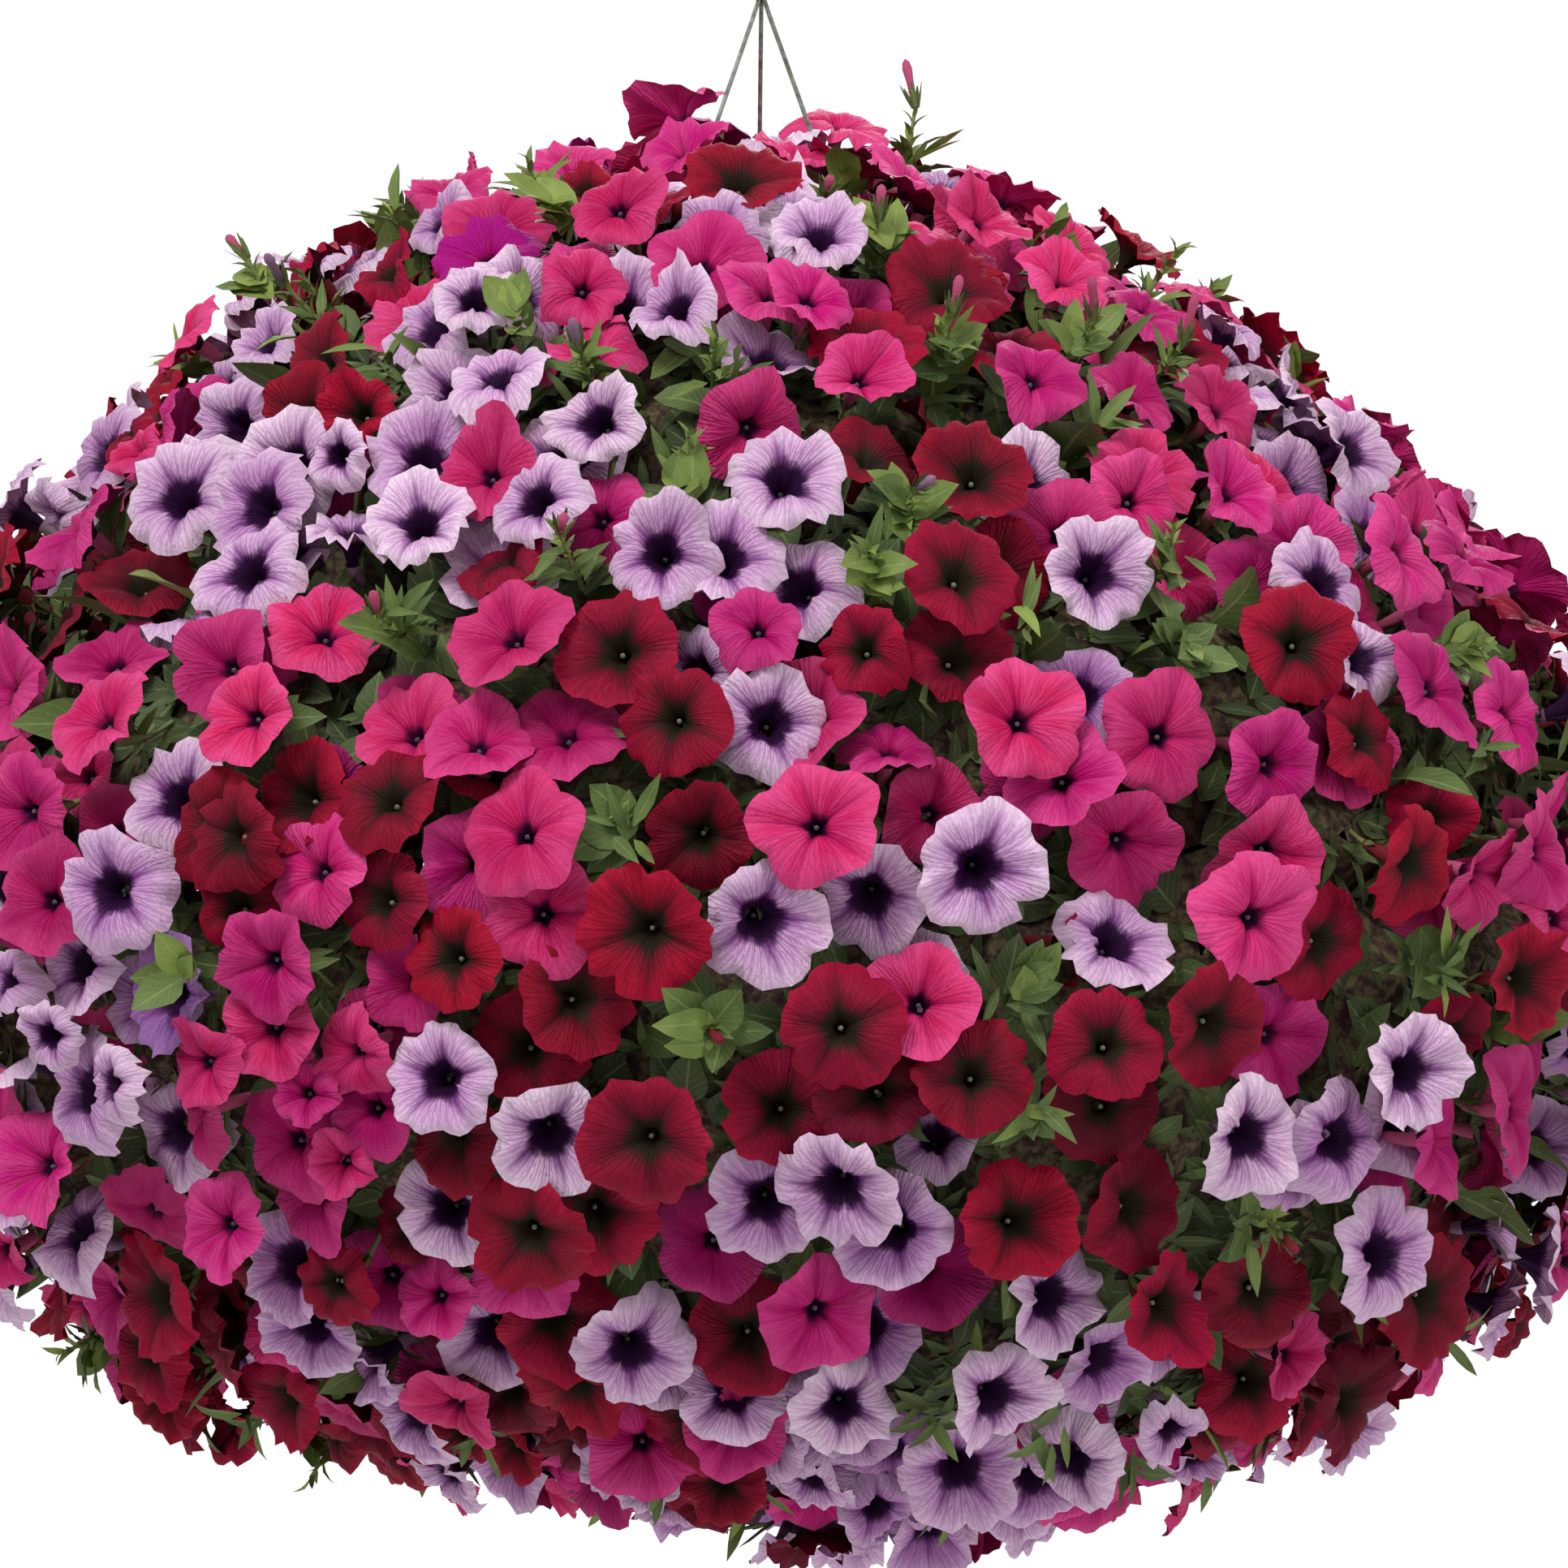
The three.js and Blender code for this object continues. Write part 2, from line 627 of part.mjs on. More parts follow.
// A round upright plug to cut a hole with
function holeAt(ringRadius, turn, height, radius) {
  const profile = [[0, -HOLE.reach], [radius, -HOLE.reach], [radius, HOLE.reach], [0, HOLE.reach]];
  const plug = turned(profile, HOLE.sides);
  plug.translate(ringRadius * Math.cos(turn), ringRadius * Math.sin(turn), height);
  return solidOf(plug);
}

function makePot() {
  const lipOuter = POT.rimRadius + POT.lip - LIP_SEAT;
  const lipUnder = POT.rimZ - POT.lipThickness;
  const profile = [
    [0, POT.baseZ],
    [POT.baseRadius, POT.baseZ],
    [wallRadius(lipUnder), lipUnder],
    [lipOuter, lipUnder],
    [lipOuter, POT.rimZ],
    [wallRadius(POT.rimZ) - POT.wall, POT.rimZ],
    [wallRadius(POT.baseZ + POT.wall) - POT.wall, POT.baseZ + POT.wall],
    [0, POT.baseZ + POT.wall],
  ];
  let pot = solidOf(turned(profile, POT_SIDES));
  for (const azimuth of WIRE.azimuths) {
    pot = pot.subtract(holeAt(POT.rimRadius, azimuth * DEG, POT.rimZ, WIRE.radius + WIRE.play));
  }
  for (let k = 0; k < DRAIN.count; k += 1) {
    const turn = (2 * Math.PI * (k + 0.5)) / DRAIN.count;
    pot = pot.subtract(holeAt(DRAIN.ringRadius, turn, POT.baseZ, DRAIN.radius));
  }
  return named('pot', geometryOf(pot), paint(0x2f3a33, 0.55));
}

// Soil: fills the pot and has one plain hole for each stem
function makeSoil(plan) {
  const bottom = POT.baseZ + POT.wall + SOIL_GAP;
  const inset = POT.wall + SOIL_GAP + WALL_GAP;
  const profile = [
    [0, bottom],
    [wallRadius(bottom) - inset, bottom],
    [wallRadius(SOIL_Z) - inset, SOIL_Z],
    [0, SOIL_Z],
  ];
  let soil = solidOf(turned(profile, POT_SIDES));
  for (const spray of plan) soil = soil.subtract(solidOf(stemBore(spray)));
  return named('soil', geometryOf(soil), paint(0x2a1d14, 0.95));
}

// The hole that a stem stands in: the stem's own section, a little wider
function stemBore(spray) {
  const { places, across } = stemWay(spray);
  const foot = places[places.length - 1];
  const down = new THREE.Vector3(0, 0, -1);
  const widen = (STEM_RADIUS + 2 * STEM_GAP) / STEM_RADIUS;
  const ringAt = (height) => {
    const place = foot.clone().setZ(height);
    return stemRing(place, down, across).map((point) => point.sub(place).multiplyScalar(widen).add(place));
  };
  const sides = [0, 1, 2].flatMap((k) => {
    const next = (k + 1) % 3;
    return [[3 + k, 3 + next, next], [3 + k, next, k]];
  });
  const vertices = [...ringAt(foot.z - STEM_GAP), ...ringAt(SOIL_Z + BORE_RISE)];
  return meshGeometry(vertices, [[0, 1, 2], [5, 4, 3], ...sides]);
}

// Hook: an open round loop of stout wire on a straight shank. Its tip is at the lower right, as
// seen from the front, and angles run from there over the top and round to the shank.
function makeHook() {
  const radius = HOOK.inner + HOOK.wire;
  const points = [];
  for (let angle = HOOK.tipAngle; angle <= HOOK.neckAngle; angle += 10) {
    const turn = angle * DEG;
    points.push(new THREE.Vector3(radius * Math.cos(turn), 0, radius * Math.sin(turn) - HOOK.inner));
  }
  const neck = points[points.length - 1];
  points.push(new THREE.Vector3(HOOK.neckShare * neck.x, 0, neck.z - HOOK.neckDrop));
  points.push(new THREE.Vector3(0, 0, SLEEVE.topZ + HOOK.shank));
  const path = new THREE.CurvePath();
  path.add(new THREE.CatmullRomCurve3(points, false, 'centripetal'));
  path.add(new THREE.LineCurve3(points[points.length - 1], new THREE.Vector3(0, 0, SLEEVE.shankEndZ)));
  return named('hook', rod(path, HOOK.wire, HOOK.sides, HOOK.steps), paint(0x8d9289, 0.4, 0.8));
}

// Sleeve: crimped round the hook's shank above and the three wires below
function makeSleeve() {
  const narrow = HOOK.wire + CLEAR;
  const wide = WIRE.offset + WIRE.radius + CLEAR;
  const profile = [
    [narrow, SLEEVE.topZ],
    [narrow, SLEEVE.shankEndZ],
    [wide, SLEEVE.shankEndZ - SLEEVE.step],
    [wide, SLEEVE.bottomZ],
    [SLEEVE.outer, SLEEVE.bottomZ],
    [SLEEVE.outer, SLEEVE.topZ],
    [narrow, SLEEVE.topZ],
  ];
  return named('sleeve', turned(profile, SLEEVE.sides), paint(0x9a9f98, 0.45, 0.8));
}

// Wires: straight from the sleeve to the pot's lip, then hooked through it from above
function makeWire(azimuth, k) {
  const outward = new THREE.Vector3(Math.cos(azimuth * DEG), Math.sin(azimuth * DEG), 0);
  const at = (radius, height) => outward.clone().multiplyScalar(radius).setZ(height);
  const [flareOut, flareRise] = WIRE.flare;
  const [bendBack, bendRise] = WIRE.bend;
  const footZ = POT.rimZ + WIRE.hang;
  const points = [
    at(WIRE.offset, WIRE.startZ),
    at(WIRE.offset, SLEEVE.bottomZ - SLEEVE.step),
    at(WIRE.offset + flareOut, SLEEVE.bottomZ + flareRise),
    at(POT.rimRadius - bendBack, footZ + bendRise),
    at(POT.rimRadius, footZ - WIRE.drop),
  ];
  const curlRadius = POT.rimRadius + WIRE.curl;
  const curlZ = POT.rimZ - POT.lipThickness + WIRE.curlSeat;
  for (let turn = 180; turn <= 360; turn += 30) {
    const along = WIRE.curl * Math.cos(turn * DEG);
    points.push(at(curlRadius + along, curlZ + WIRE.curl * Math.sin(turn * DEG)));
  }
  points.push(at(curlRadius + WIRE.curl, POT.rimZ + WIRE.endRise));
  return named(`wire_${k + 1}`, wireGeometry(points, outward), paint(0x8a908a, 0.45, 0.75));
}

// A rod through points that all lie in one upright plane
function wireGeometry(points, outward) {
  const { sides } = WIRE;
  const across = new THREE.Vector3(0, 0, 1).cross(outward);
  const vertices = [];
  const triangles = [];
  points.forEach((point, k) => {
    const before = points[Math.max(k - 1, 0)];
    const after = points[Math.min(k + 1, points.length - 1)];
    const ahead = after.clone().sub(point).normalize();
    const heading = point.clone().sub(before).normalize().add(ahead).normalize();
    const inPlane = across.clone().cross(heading).normalize();
    for (let n = 0; n < sides; n += 1) {
      const turn = (2 * Math.PI * n) / sides;
      vertices.push(point.clone()
        .addScaledVector(inPlane, WIRE.radius * Math.cos(turn))
        .addScaledVector(across, WIRE.radius * Math.sin(turn)));
    }
  });
  for (let k = 0; k < points.length - 1; k += 1) {
    for (let n = 0; n < sides; n += 1) {
      const a = k * sides + n;
      const b = k * sides + ((n + 1) % sides);
      triangles.push([a, b, b + sides], [a, b + sides, a + sides]);
    }
  }
  const lastStart = (points.length - 1) * sides;
  for (let n = 1; n < sides - 1; n += 1) {
    triangles.push([0, n + 1, n], [lastStart, lastStart + n, lastStart + n + 1]);
  }
  return meshGeometry(vertices, triangles);
}

function makeBasket() {
  const plan = makeSprayPlan();
  giveCorners(plan);
  const blooms = placeBlooms(plan);
  placeLeaves(plan, blooms);
  const basket = new THREE.Group();
  basket.add(makeHook(), makeSleeve(), ...WIRE.azimuths.map(makeWire), makePot(), makeSoil(plan));
  basket.add(...plan.map(makeSpray));
  return basket;
}

export default makeBasket();
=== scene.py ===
import math
import bpy
import bmesh
import numpy as np
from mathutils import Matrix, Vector


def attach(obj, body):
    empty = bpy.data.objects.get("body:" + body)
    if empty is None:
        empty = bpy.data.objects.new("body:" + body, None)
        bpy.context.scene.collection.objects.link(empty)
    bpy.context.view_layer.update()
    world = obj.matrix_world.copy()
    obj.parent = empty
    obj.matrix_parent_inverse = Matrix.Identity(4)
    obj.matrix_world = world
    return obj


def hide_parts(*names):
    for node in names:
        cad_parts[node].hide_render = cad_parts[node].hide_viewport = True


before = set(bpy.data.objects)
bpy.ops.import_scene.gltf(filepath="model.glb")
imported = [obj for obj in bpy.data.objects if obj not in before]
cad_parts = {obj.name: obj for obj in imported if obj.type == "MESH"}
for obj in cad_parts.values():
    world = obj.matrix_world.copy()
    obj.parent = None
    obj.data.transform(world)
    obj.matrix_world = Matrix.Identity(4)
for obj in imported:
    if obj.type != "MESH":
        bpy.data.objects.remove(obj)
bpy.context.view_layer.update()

rng = np.random.default_rng(61)
mm = 0.001
fullTurn = 2 * math.pi
lobeCount = 5  # of every bloom

basket = {
    "centre": np.array([0, 0, -490]) * mm,
    "topZ": -130 * mm,
    "bottomZ": -780 * mm,
    "rings": ["crown", "shoulder", "upper", "waist", "lower", "under"],
    "notchOfColour": {"pink": 0.91, "red": 0.85, "violet": 0.79},  # how the CAD rims tell the colours
}
colourNames = list(basket["notchOfColour"])


def unit(vectors):
    return vectors / np.linalg.norm(vectors, axis=-1, keepdims=True)


def squareTo(axis):
    helper = np.array([0.0, 0, 1]) if abs(axis[2]) < 0.9 else np.array([1.0, 0, 0])
    first = unit(np.cross(helper, axis))
    return first, np.cross(axis, first)


def turnedTo(sides, turn):
    return sides[0] * math.cos(turn) + sides[1] * math.sin(turn)


def roundTurns(count):
    return np.linspace(0, fullTurn, count, endpoint=False)


def circleRound(axis, count):
    first, second = squareTo(axis)
    turns = roundTurns(count)
    return np.cos(turns)[:, None] * first + np.sin(turns)[:, None] * second


def bezier(start, middle, end, share):
    return start * (1 - share) ** 2 + middle * 2 * share * (1 - share) + end * share ** 2


# 0 at the top of the mass, 1 at its bottom
def lowness(place):
    return float(np.clip((basket["topZ"] - place[2]) / (basket["topZ"] - basket["bottomZ"]), 0, 1))


# Reading the CAD sprays: a throat has five tips and five notches round it, a leaf's tip three points
reading = {"weldMm": 0.005, "evenTipsMm": 0.2, "longestTipMm": 34, "shortestNotchMm": 12}


def readSolid(node):
    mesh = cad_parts[node].data
    places = np.zeros(len(mesh.vertices) * 3)
    mesh.vertices.foreach_get("co", places)
    places = places.reshape(-1, 3)
    rounded = np.round(places / (reading["weldMm"] * mm)).astype(int)
    _, firsts, merged = np.unique(rounded, axis=0, return_index=True, return_inverse=True)
    mesh.calc_loop_triangles()
    corners = np.array([list(triangle.vertices) for triangle in mesh.loop_triangles])
    return places[firsts], merged.ravel()[corners]


def neighboursOf(count, triangles):
    near = [set() for _ in range(count)]
    for a, b, c in triangles:
        near[a] |= {b, c}
        near[b] |= {a, c}
        near[c] |= {a, b}
    return near


# Middle of the points where a bloom or leaf joins the core
def rootOf(points, near, ring, tip):
    feet = set().union(*(near[k] for k in ring)) - set(ring) - {tip}
    return points[list(feet)].mean(0)


def readBloom(points, near, throat):
    ring = list(near[throat])
    centre = points[ring].mean(0)
    spokes = points[ring] - centre
    reach = np.linalg.norm(spokes, axis=1)
    order = np.argsort(-reach)
    longestTip, shortestTip, shortestNotch = reach[order[[0, lobeCount - 1, -1]]]
    evenTips = longestTip - shortestTip < reading["evenTipsMm"] * mm
    tooLong = shortestTip > reading["longestTipMm"] * mm
    if not evenTips or tooLong or shortestNotch < reading["shortestNotchMm"] * mm:
        return None
    facing = np.linalg.svd(spokes)[2][2]
    if facing @ (centre - points[throat]) < 0:
        facing = -facing
    notch = shortestNotch / longestTip
    colour = min(colourNames, key=lambda name: abs(basket["notchOfColour"][name] - notch))
    return {
        "centre": centre, "radius": longestTip, "facing": facing, "first": unit(spokes[order[0]]),
        "root": rootOf(points, near, ring, throat), "colour": colour, "used": set(ring) | {throat},
    }


# The two points that lie furthest apart round a leaf's tip are its sides
def readLeaf(points, near, tip):
    ring = list(near[tip])
    pairs = [(ring[0], ring[1]), (ring[0], ring[2]), (ring[1], ring[2])]
    left, right = max(pairs, key=lambda pair: np.linalg.norm(points[pair[0]] - points[pair[1]]))
    return {
        "tip": points[tip], "left": points[left], "right": points[right],
        "root": rootOf(points, near, ring, tip), "used": set(ring) | {tip},
    }


def readSpray(node):
    points, triangles = readSolid(node)
    near = neighboursOf(len(points), triangles)
    blooms = [readBloom(points, near, k) for k in range(len(points)) if len(near[k]) == 2 * lobeCount]
    blooms = [bloom for bloom in blooms if bloom]
    leaves = [readLeaf(points, near, k) for k in range(len(points)) if len(near[k]) == 3]
    used = set().union(*(shoot["used"] for shoot in blooms + leaves))
    core = np.array([triangle for triangle in triangles if not used & set(triangle.tolist())])
    return {"node": node, "blooms": blooms, "leaves": leaves, "points": points, "core": core}


def readRings():
    rings = {}
    for name in basket["rings"]:
        nodes = sorted(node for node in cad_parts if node.startswith("spray_" + name))
        rings[name] = [readSpray(node) for node in nodes]
    return rings


def allOf(rings, kind):
    return [shoot for ring in rings.values() for spray in ring for shoot in spray[kind]]


# A heap gathers grids of points and faces for one piece. Its materials read the map growth,
# whose Y runs outward, and the tone of each point.
markedGrowth = 2.0  # growth Y of knobs and cores, well past any rim


def newHeap():
    return {"points": [], "faces": [], "maps": [], "tones": [], "count": 0}


def addFaces(heap, points, faces, cornerMaps, tone):
    heap["points"].append(points)
    heap["faces"].append(faces + heap["count"])
    heap["maps"].append(cornerMaps)
    heap["tones"].append(np.full(len(points), tone))
    heap["count"] += len(points)


def addGrid(heap, points, closed, rowMap, columnMap, tone):
    rows, columns = points.shape[:2]
    across = columns if closed else columns - 1
    row, column = np.indices((rows - 1, across)).reshape(2, -1)
    after = (column + 1) % columns
    start, above = row * columns, (row + 1) * columns
    faces = np.stack([start + column, start + after, above + after, above + column], 1)
    mapColumns = columnMap[np.stack([column, column + 1, column + 1, column], 1)]
    mapRows = rowMap[np.stack([row, row, row + 1, row + 1], 1)]
    addFaces(heap, points.reshape(-1, 3), faces, np.stack([mapColumns, mapRows], -1), tone)


# A closed grid's growth X counts the lobes round it
def addRound(heap, points, rowMap, tone):
    addGrid(heap, points, True, rowMap, np.linspace(0, lobeCount, points.shape[1] + 1), tone)


def addTube(heap, middles, radii, sides, rowMap, tone):
    rows = []
    for k, (middle, radius) in enumerate(zip(middles, radii)):
        after, before = middles[min(k + 1, len(middles) - 1)], middles[max(k - 1, 0)]
        rows.append(middle + radius * circleRound(unit(after - before), sides))
    addRound(heap, np.array(rows), rowMap, tone)


def makePiece(name, heap, material, nodes):
    mesh = bpy.data.meshes.new(name)
    faces = [face for block in heap["faces"] for face in block.tolist()]
    mesh.from_pydata(np.concatenate(heap["points"]).tolist(), [], faces)
    maps = np.concatenate([block.reshape(-1, 2) for block in heap["maps"]])
    mesh.uv_layers.new(name="growth").data.foreach_set("uv", maps.astype(np.float32).ravel())
    tones = np.concatenate(heap["tones"]).astype(np.float32)
    mesh.attributes.new("tone", "FLOAT", "POINT").data.foreach_set("value", tones)
    mesh.polygons.foreach_set("use_smooth", np.ones(len(mesh.polygons), bool))
    mesh.materials.append(material)
    piece = bpy.data.objects.new(name, mesh)
    bpy.context.scene.collection.objects.link(piece)
    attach(piece, "root")
    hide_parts(*nodes)
    triangles = sum(len(face) - 2 for face in faces)
    print(name, triangles, "triangles")
    return triangles


# Blooms: a sheet from the throat to the rim, whose five lobes part at notches
bloomForm = {
    "size": 0.9,  # of the CAD trumpet's radius
    "segments": 42, "turnedAside": 0.1,
    # share of the way out, share of the radius, height in mm
    "profile": [
        (0.0, 0.05, -16), (0.12, 0.11, -10.4), (0.25, 0.2, -5.8), (0.38, 0.32, -2.8), (0.52, 0.47, -0.9),
        (0.66, 0.63, 0.1), (0.8, 0.8, 0.3), (0.91, 0.92, -0.4), (1.0, 1.0, -1.9),
    ],
    "lobeReach": (-0.1, 0.06),  # how much longer or shorter a lobe grows
    "cupMm": (-3, 4), "saddleShare": (0, 1.4), "rimWaves": (9, 12, 15), "ruffleWaves": (7, 11, 15),
    "midribWidth": 0.1, "pleatWidth": 0.09,
}

bloomStyles = {
    "pink": {
        "notch": 0.15, "lobePower": 0.75, "scallop": 0.025, "point": 0.06, "frill": 0.022, "funnel": 0.85,
        "saddleMm": 3.4, "ruffleMm": 1.6, "bendMm": 4.2, "creaseMm": 2.0, "pleatMm": 3.0,
    },
    "red": {
        "notch": 0.12, "lobePower": 0.5, "scallop": 0.055, "point": 0.0, "frill": 0.034, "funnel": 1.0,
        "saddleMm": 3.4, "ruffleMm": 2.2, "bendMm": 4.2, "creaseMm": 1.9, "pleatMm": 3.4,
    },
    "violet": {
        "notch": 0.17, "lobePower": 0.5, "scallop": 0.07, "point": 0.0, "frill": 0.028, "funnel": 1.4,
        "saddleMm": 4.0, "ruffleMm": 2.8, "bendMm": 5.2, "creaseMm": 1.8, "pleatMm": 4.0,
    },
}


# Blends five values, one for each lobe, smoothly round the bloom
def aroundLobes(turns, values):
    place = (turns / fullTurn * lobeCount) % lobeCount
    low = np.floor(place).astype(int) % lobeCount
    share = 0.5 - 0.5 * np.cos(math.pi * (place - np.floor(place)))
    return values[low] * (1 - share) + values[(low + 1) % lobeCount] * share


def ruffle(turns, counts):
    waves = 0
    for count in counts:
        size = rng.uniform(0.3, 0.8)
        waves = waves + size * np.sin(count * turns + rng.uniform(0, fullTurn))
    return waves


def ridge(away, width):
    return np.exp(-((away / width) ** 2))


# How far the rim reaches at each turn; lobe is 0 at a lobe's midrib and 0.5 at a notch
def rimReach(style, turns, lobe):
    fullness = np.cos(math.pi * lobe) ** 2
    reach = 1 - style["notch"] * (1 - fullness ** (style["lobePower"] / 2))
    reach += style["scallop"] * (np.abs(np.sin(2 * math.pi * lobe)) ** 0.7 - 0.5)
    reach += style["point"] * ridge(lobe, bloomForm["midribWidth"])
    lobeReach = aroundLobes(turns, rng.uniform(*bloomForm["lobeReach"], lobeCount))
    return reach * (1 + lobeReach + style["frill"] * ruffle(turns, bloomForm["rimWaves"]))


# The sheet is cupped, bent lobe by lobe, saddled and ruffled, creased at midribs, pleated at notches
def sheetRise(style, heights, out, turns, lobe):
    rise = heights * style["funnel"] * mm + rng.uniform(*bloomForm["cupMm"]) * mm * out ** 2
    rise = rise + aroundLobes(turns, rng.normal(0, style["bendMm"], lobeCount)) * mm * out ** 3
    saddle = style["saddleMm"] * mm * rng.uniform(*bloomForm["saddleShare"])
    rise = rise + saddle * np.cos(2 * turns + rng.uniform(0, 6)) * out ** 2
    rise = rise + style["ruffleMm"] * mm * ruffle(turns, bloomForm["ruffleWaves"]) * out ** 4
    crease = ridge(lobe, bloomForm["midribWidth"]) * 4 * out * (1 - 0.8 * out)
    pleat = ridge(0.5 - np.abs(lobe), bloomForm["pleatWidth"]) * (out ** 2 - 1.6 * out ** 6)
    return rise - style["creaseMm"] * mm * crease + style["pleatMm"] * mm * pleat


# A hidden bloom has half as many rows
def bloomSheet(bloom):
    style = bloomStyles[bloom["colour"]]
    steps = bloomForm["profile"][::2] if bloom["hidden"] else bloomForm["profile"]
    out, shares, heights = np.array(steps).T[:, :, None]
    turns = roundTurns(bloom["segments"])
    lobe = (turns / fullTurn * lobeCount + 0.5) % 1 - 0.5
    inPlane = shares * bloom["radius"] * rimReach(style, turns, lobe)
    rise = sheetRise(style, heights, out, turns, lobe)
    return np.stack([inPlane * np.cos(turns), inPlane * np.sin(turns), rise], -1), out.ravel()


# Petals are painted darker low down and further in, as painted shade, on top of a random tone; a few blooms
# are of an odd colour
def bloomTone(bloom):
    if rng.random() < bloomMix["oddShare"]:
        return bloomMix["oddTone"]
    tone = bloomMix["spread"] * rng.uniform() + bloomMix["lowShade"] * lowness(bloom["centre"])
    return min(tone + bloom["deeper"], 1.0)


# Tube and stalk run back to the root, with a green calyx where they meet
tubeForm = {
    "startMm": 11.5, "bendMm": 24, "sides": 6,
    # share of the way to the root, radius in mm, growth Y
    "steps": [(0, 3.4, -0.1), (0.15, 3.2, -0.4), (0.35, 2.7, -0.7), (0.6, 2.1, -1.0)],
}
stalkForm = {"sides": 4, "steps": [(0.6, 1.5, -0.2), (0.8, 1.0, -0.5), (1, 1.2, -1)], "tone": (0.3, 0.9)}
calyxForm = {
    "lengthMm": 11, "tone": 0.55,
    # away from the stalk in mm, share of the length, half width in mm
    "steps": [(1.6, 0, 1.0), (3.2, 0.45, 1.5), (5.2, 1, 0.3)],
}
knobForm = {"depthMm": 9, "tone": 0.5, "steps": [(0.6, -2), (1.2, 0), (0.05, 1.3)]}


def addShoot(heap, curve, form, tone):
    shares, radii, growth = np.array(form["steps"]).T
    middles = [bezier(*curve, share) for share in shares]
    addTube(heap, middles, radii * mm, form["sides"], growth, tone)
    return middles[0]


def addBloom(petals, greens, bloom):
    centre, facing = bloom["centre"], bloom["facing"]
    first = unit(bloom["first"] - facing * (bloom["first"] @ facing))
    sheet, out = bloomSheet(bloom)
    placed = centre + sheet @ np.array([first, np.cross(facing, first), facing])
    tone = bloomTone(bloom)
    addRound(petals, placed, out, tone)
    funnel = bloomStyles[bloom["colour"]]["funnel"]
    start = centre - facing * tubeForm["startMm"] * funnel * mm
    bend = centre - facing * tubeForm["bendMm"] * mm
    curve = (start, bend, bloom["root"])
    addShoot(petals, curve, tubeForm, tone)
    addKnob(petals, centre - facing * knobForm["depthMm"] * funnel * mm, facing)
    if not bloom["hidden"]:
        joint = addShoot(greens, curve, stalkForm, rng.uniform(*stalkForm["tone"]))
        addCalyx(greens, joint, unit(start - joint))


# A pale knob of stamens in the throat
def addKnob(heap, place, facing):
    circle = circleRound(facing, 5)
    rows = [place + circle * radius * mm + facing * height * mm for radius, height in knobForm["steps"]]
    addRound(heap, np.array(rows), np.full(len(rows), markedGrowth), knobForm["tone"])


def addCalyx(heap, place, towards):
    sides = squareTo(towards)
    length = calyxForm["lengthMm"] * mm
    for turn in roundTurns(5):
        out = turnedTo(sides, turn)
        across = np.cross(towards, out)
        rows = []
        for away, share, half in calyxForm["steps"]:
            middle = place + out * away * mm + towards * share * length
            rows.append([middle - across * half * mm, middle + across * half * mm])
        addGrid(heap, np.array(rows), False, np.array([0, 0.5, 1]), np.array([0.2, 0.8]), calyxForm["tone"])


# Keeping blooms and leaves out of each other: places are seen from each bloom's own plane
clearForm = {"throatMm": 16, "steepness": 2.6, "rimShare": 1.06, "nearBloomMm": 70, "nearLeafMm": 75}


def planeReach(points, discs):
    away = points[None, :, :] - discs["centre"][:, None, :]
    height = np.einsum("mnk,mk->mn", away, discs["facing"])
    flat = np.linalg.norm(away - height[..., None] * discs["facing"][:, None, :], axis=-1)
    return height, flat / discs["radius"][:, None]


# Height of a bloom's sheet at a share of its radius
def sheetHeight(share):
    return -clearForm["throatMm"] * mm * np.clip(1 - share, 0, 1) ** clearForm["steepness"]


# Two rings of points: the rim, and one half way in and 3 mm behind it
def rimPoints(bloom):
    centre, circle = bloom["centre"], circleRound(bloom["facing"], 12) * bloom["radius"]
    return np.concatenate([centre + circle, centre + circle * 0.5 - bloom["facing"] * 3 * mm])


def discsOf(blooms):
    return {key: np.array([bloom[key] for bloom in blooms]) for key in ("centre", "facing", "radius", "rim")}


def nearDiscs(discs, place, reachMm):
    near = np.linalg.norm(discs["centre"] - place, axis=1) < reachMm * mm
    return {key: values[near] for key, values in discs.items()}


# True where each row of points lies all behind its sheet, or all before it where it may
def onOneSide(height, share, clear, mayCover=True):
    sheet = sheetHeight(share)
    outside = share > clearForm["rimShare"]
    behind = np.all((height < sheet - clear) | outside, axis=-1)
    before = np.all((height > sheet + clear) | outside, axis=-1)
    return bool(np.all(behind | (before & mayCover)))


def clears(points, discs, clear, mayCover=True):
    return onOneSide(*planeReach(points, discs), clear, mayCover)


def groupsClear(groups, bloom, clear):
    height, share = planeReach(groups.reshape(-1, 3), discsOf([bloom]))
    shape = groups.shape[:2]
    return onOneSide(height.reshape(shape), share.reshape(shape), clear)


# Gaps: the places between three neighbouring blooms
def findGaps(rings):
    blooms = [(name, bloom) for name, ring in rings.items() for spray in ring for bloom in spray["blooms"]]
    shape = bmesh.new()
    order = {}
    for k, (_, bloom) in enumerate(blooms):
        order[shape.verts.new(Vector(unit(bloom["centre"] - basket["centre"])))] = k
    made = bmesh.ops.convex_hull(shape, input=shape.verts[:])
    faces = [item for item in made["geom"] if isinstance(item, bmesh.types.BMFace)]
    triples = sorted(tuple(sorted(order[vert] for vert in face.verts)) for face in faces)
    shape.free()
    gaps = []
    for triple in triples:
        around = [blooms[k][1] for k in triple]
        place = np.mean([bloom["centre"] for bloom in around], axis=0)
        gaps.append({
            "ring": blooms[triple[0]][0], "place": place, "outward": unit(place - basket["centre"]),
            "facing": unit(np.mean([bloom["facing"] for bloom in around], axis=0)),
            "colours": [bloom["colour"] for bloom in around], "blooms": [],
        })
    return gaps


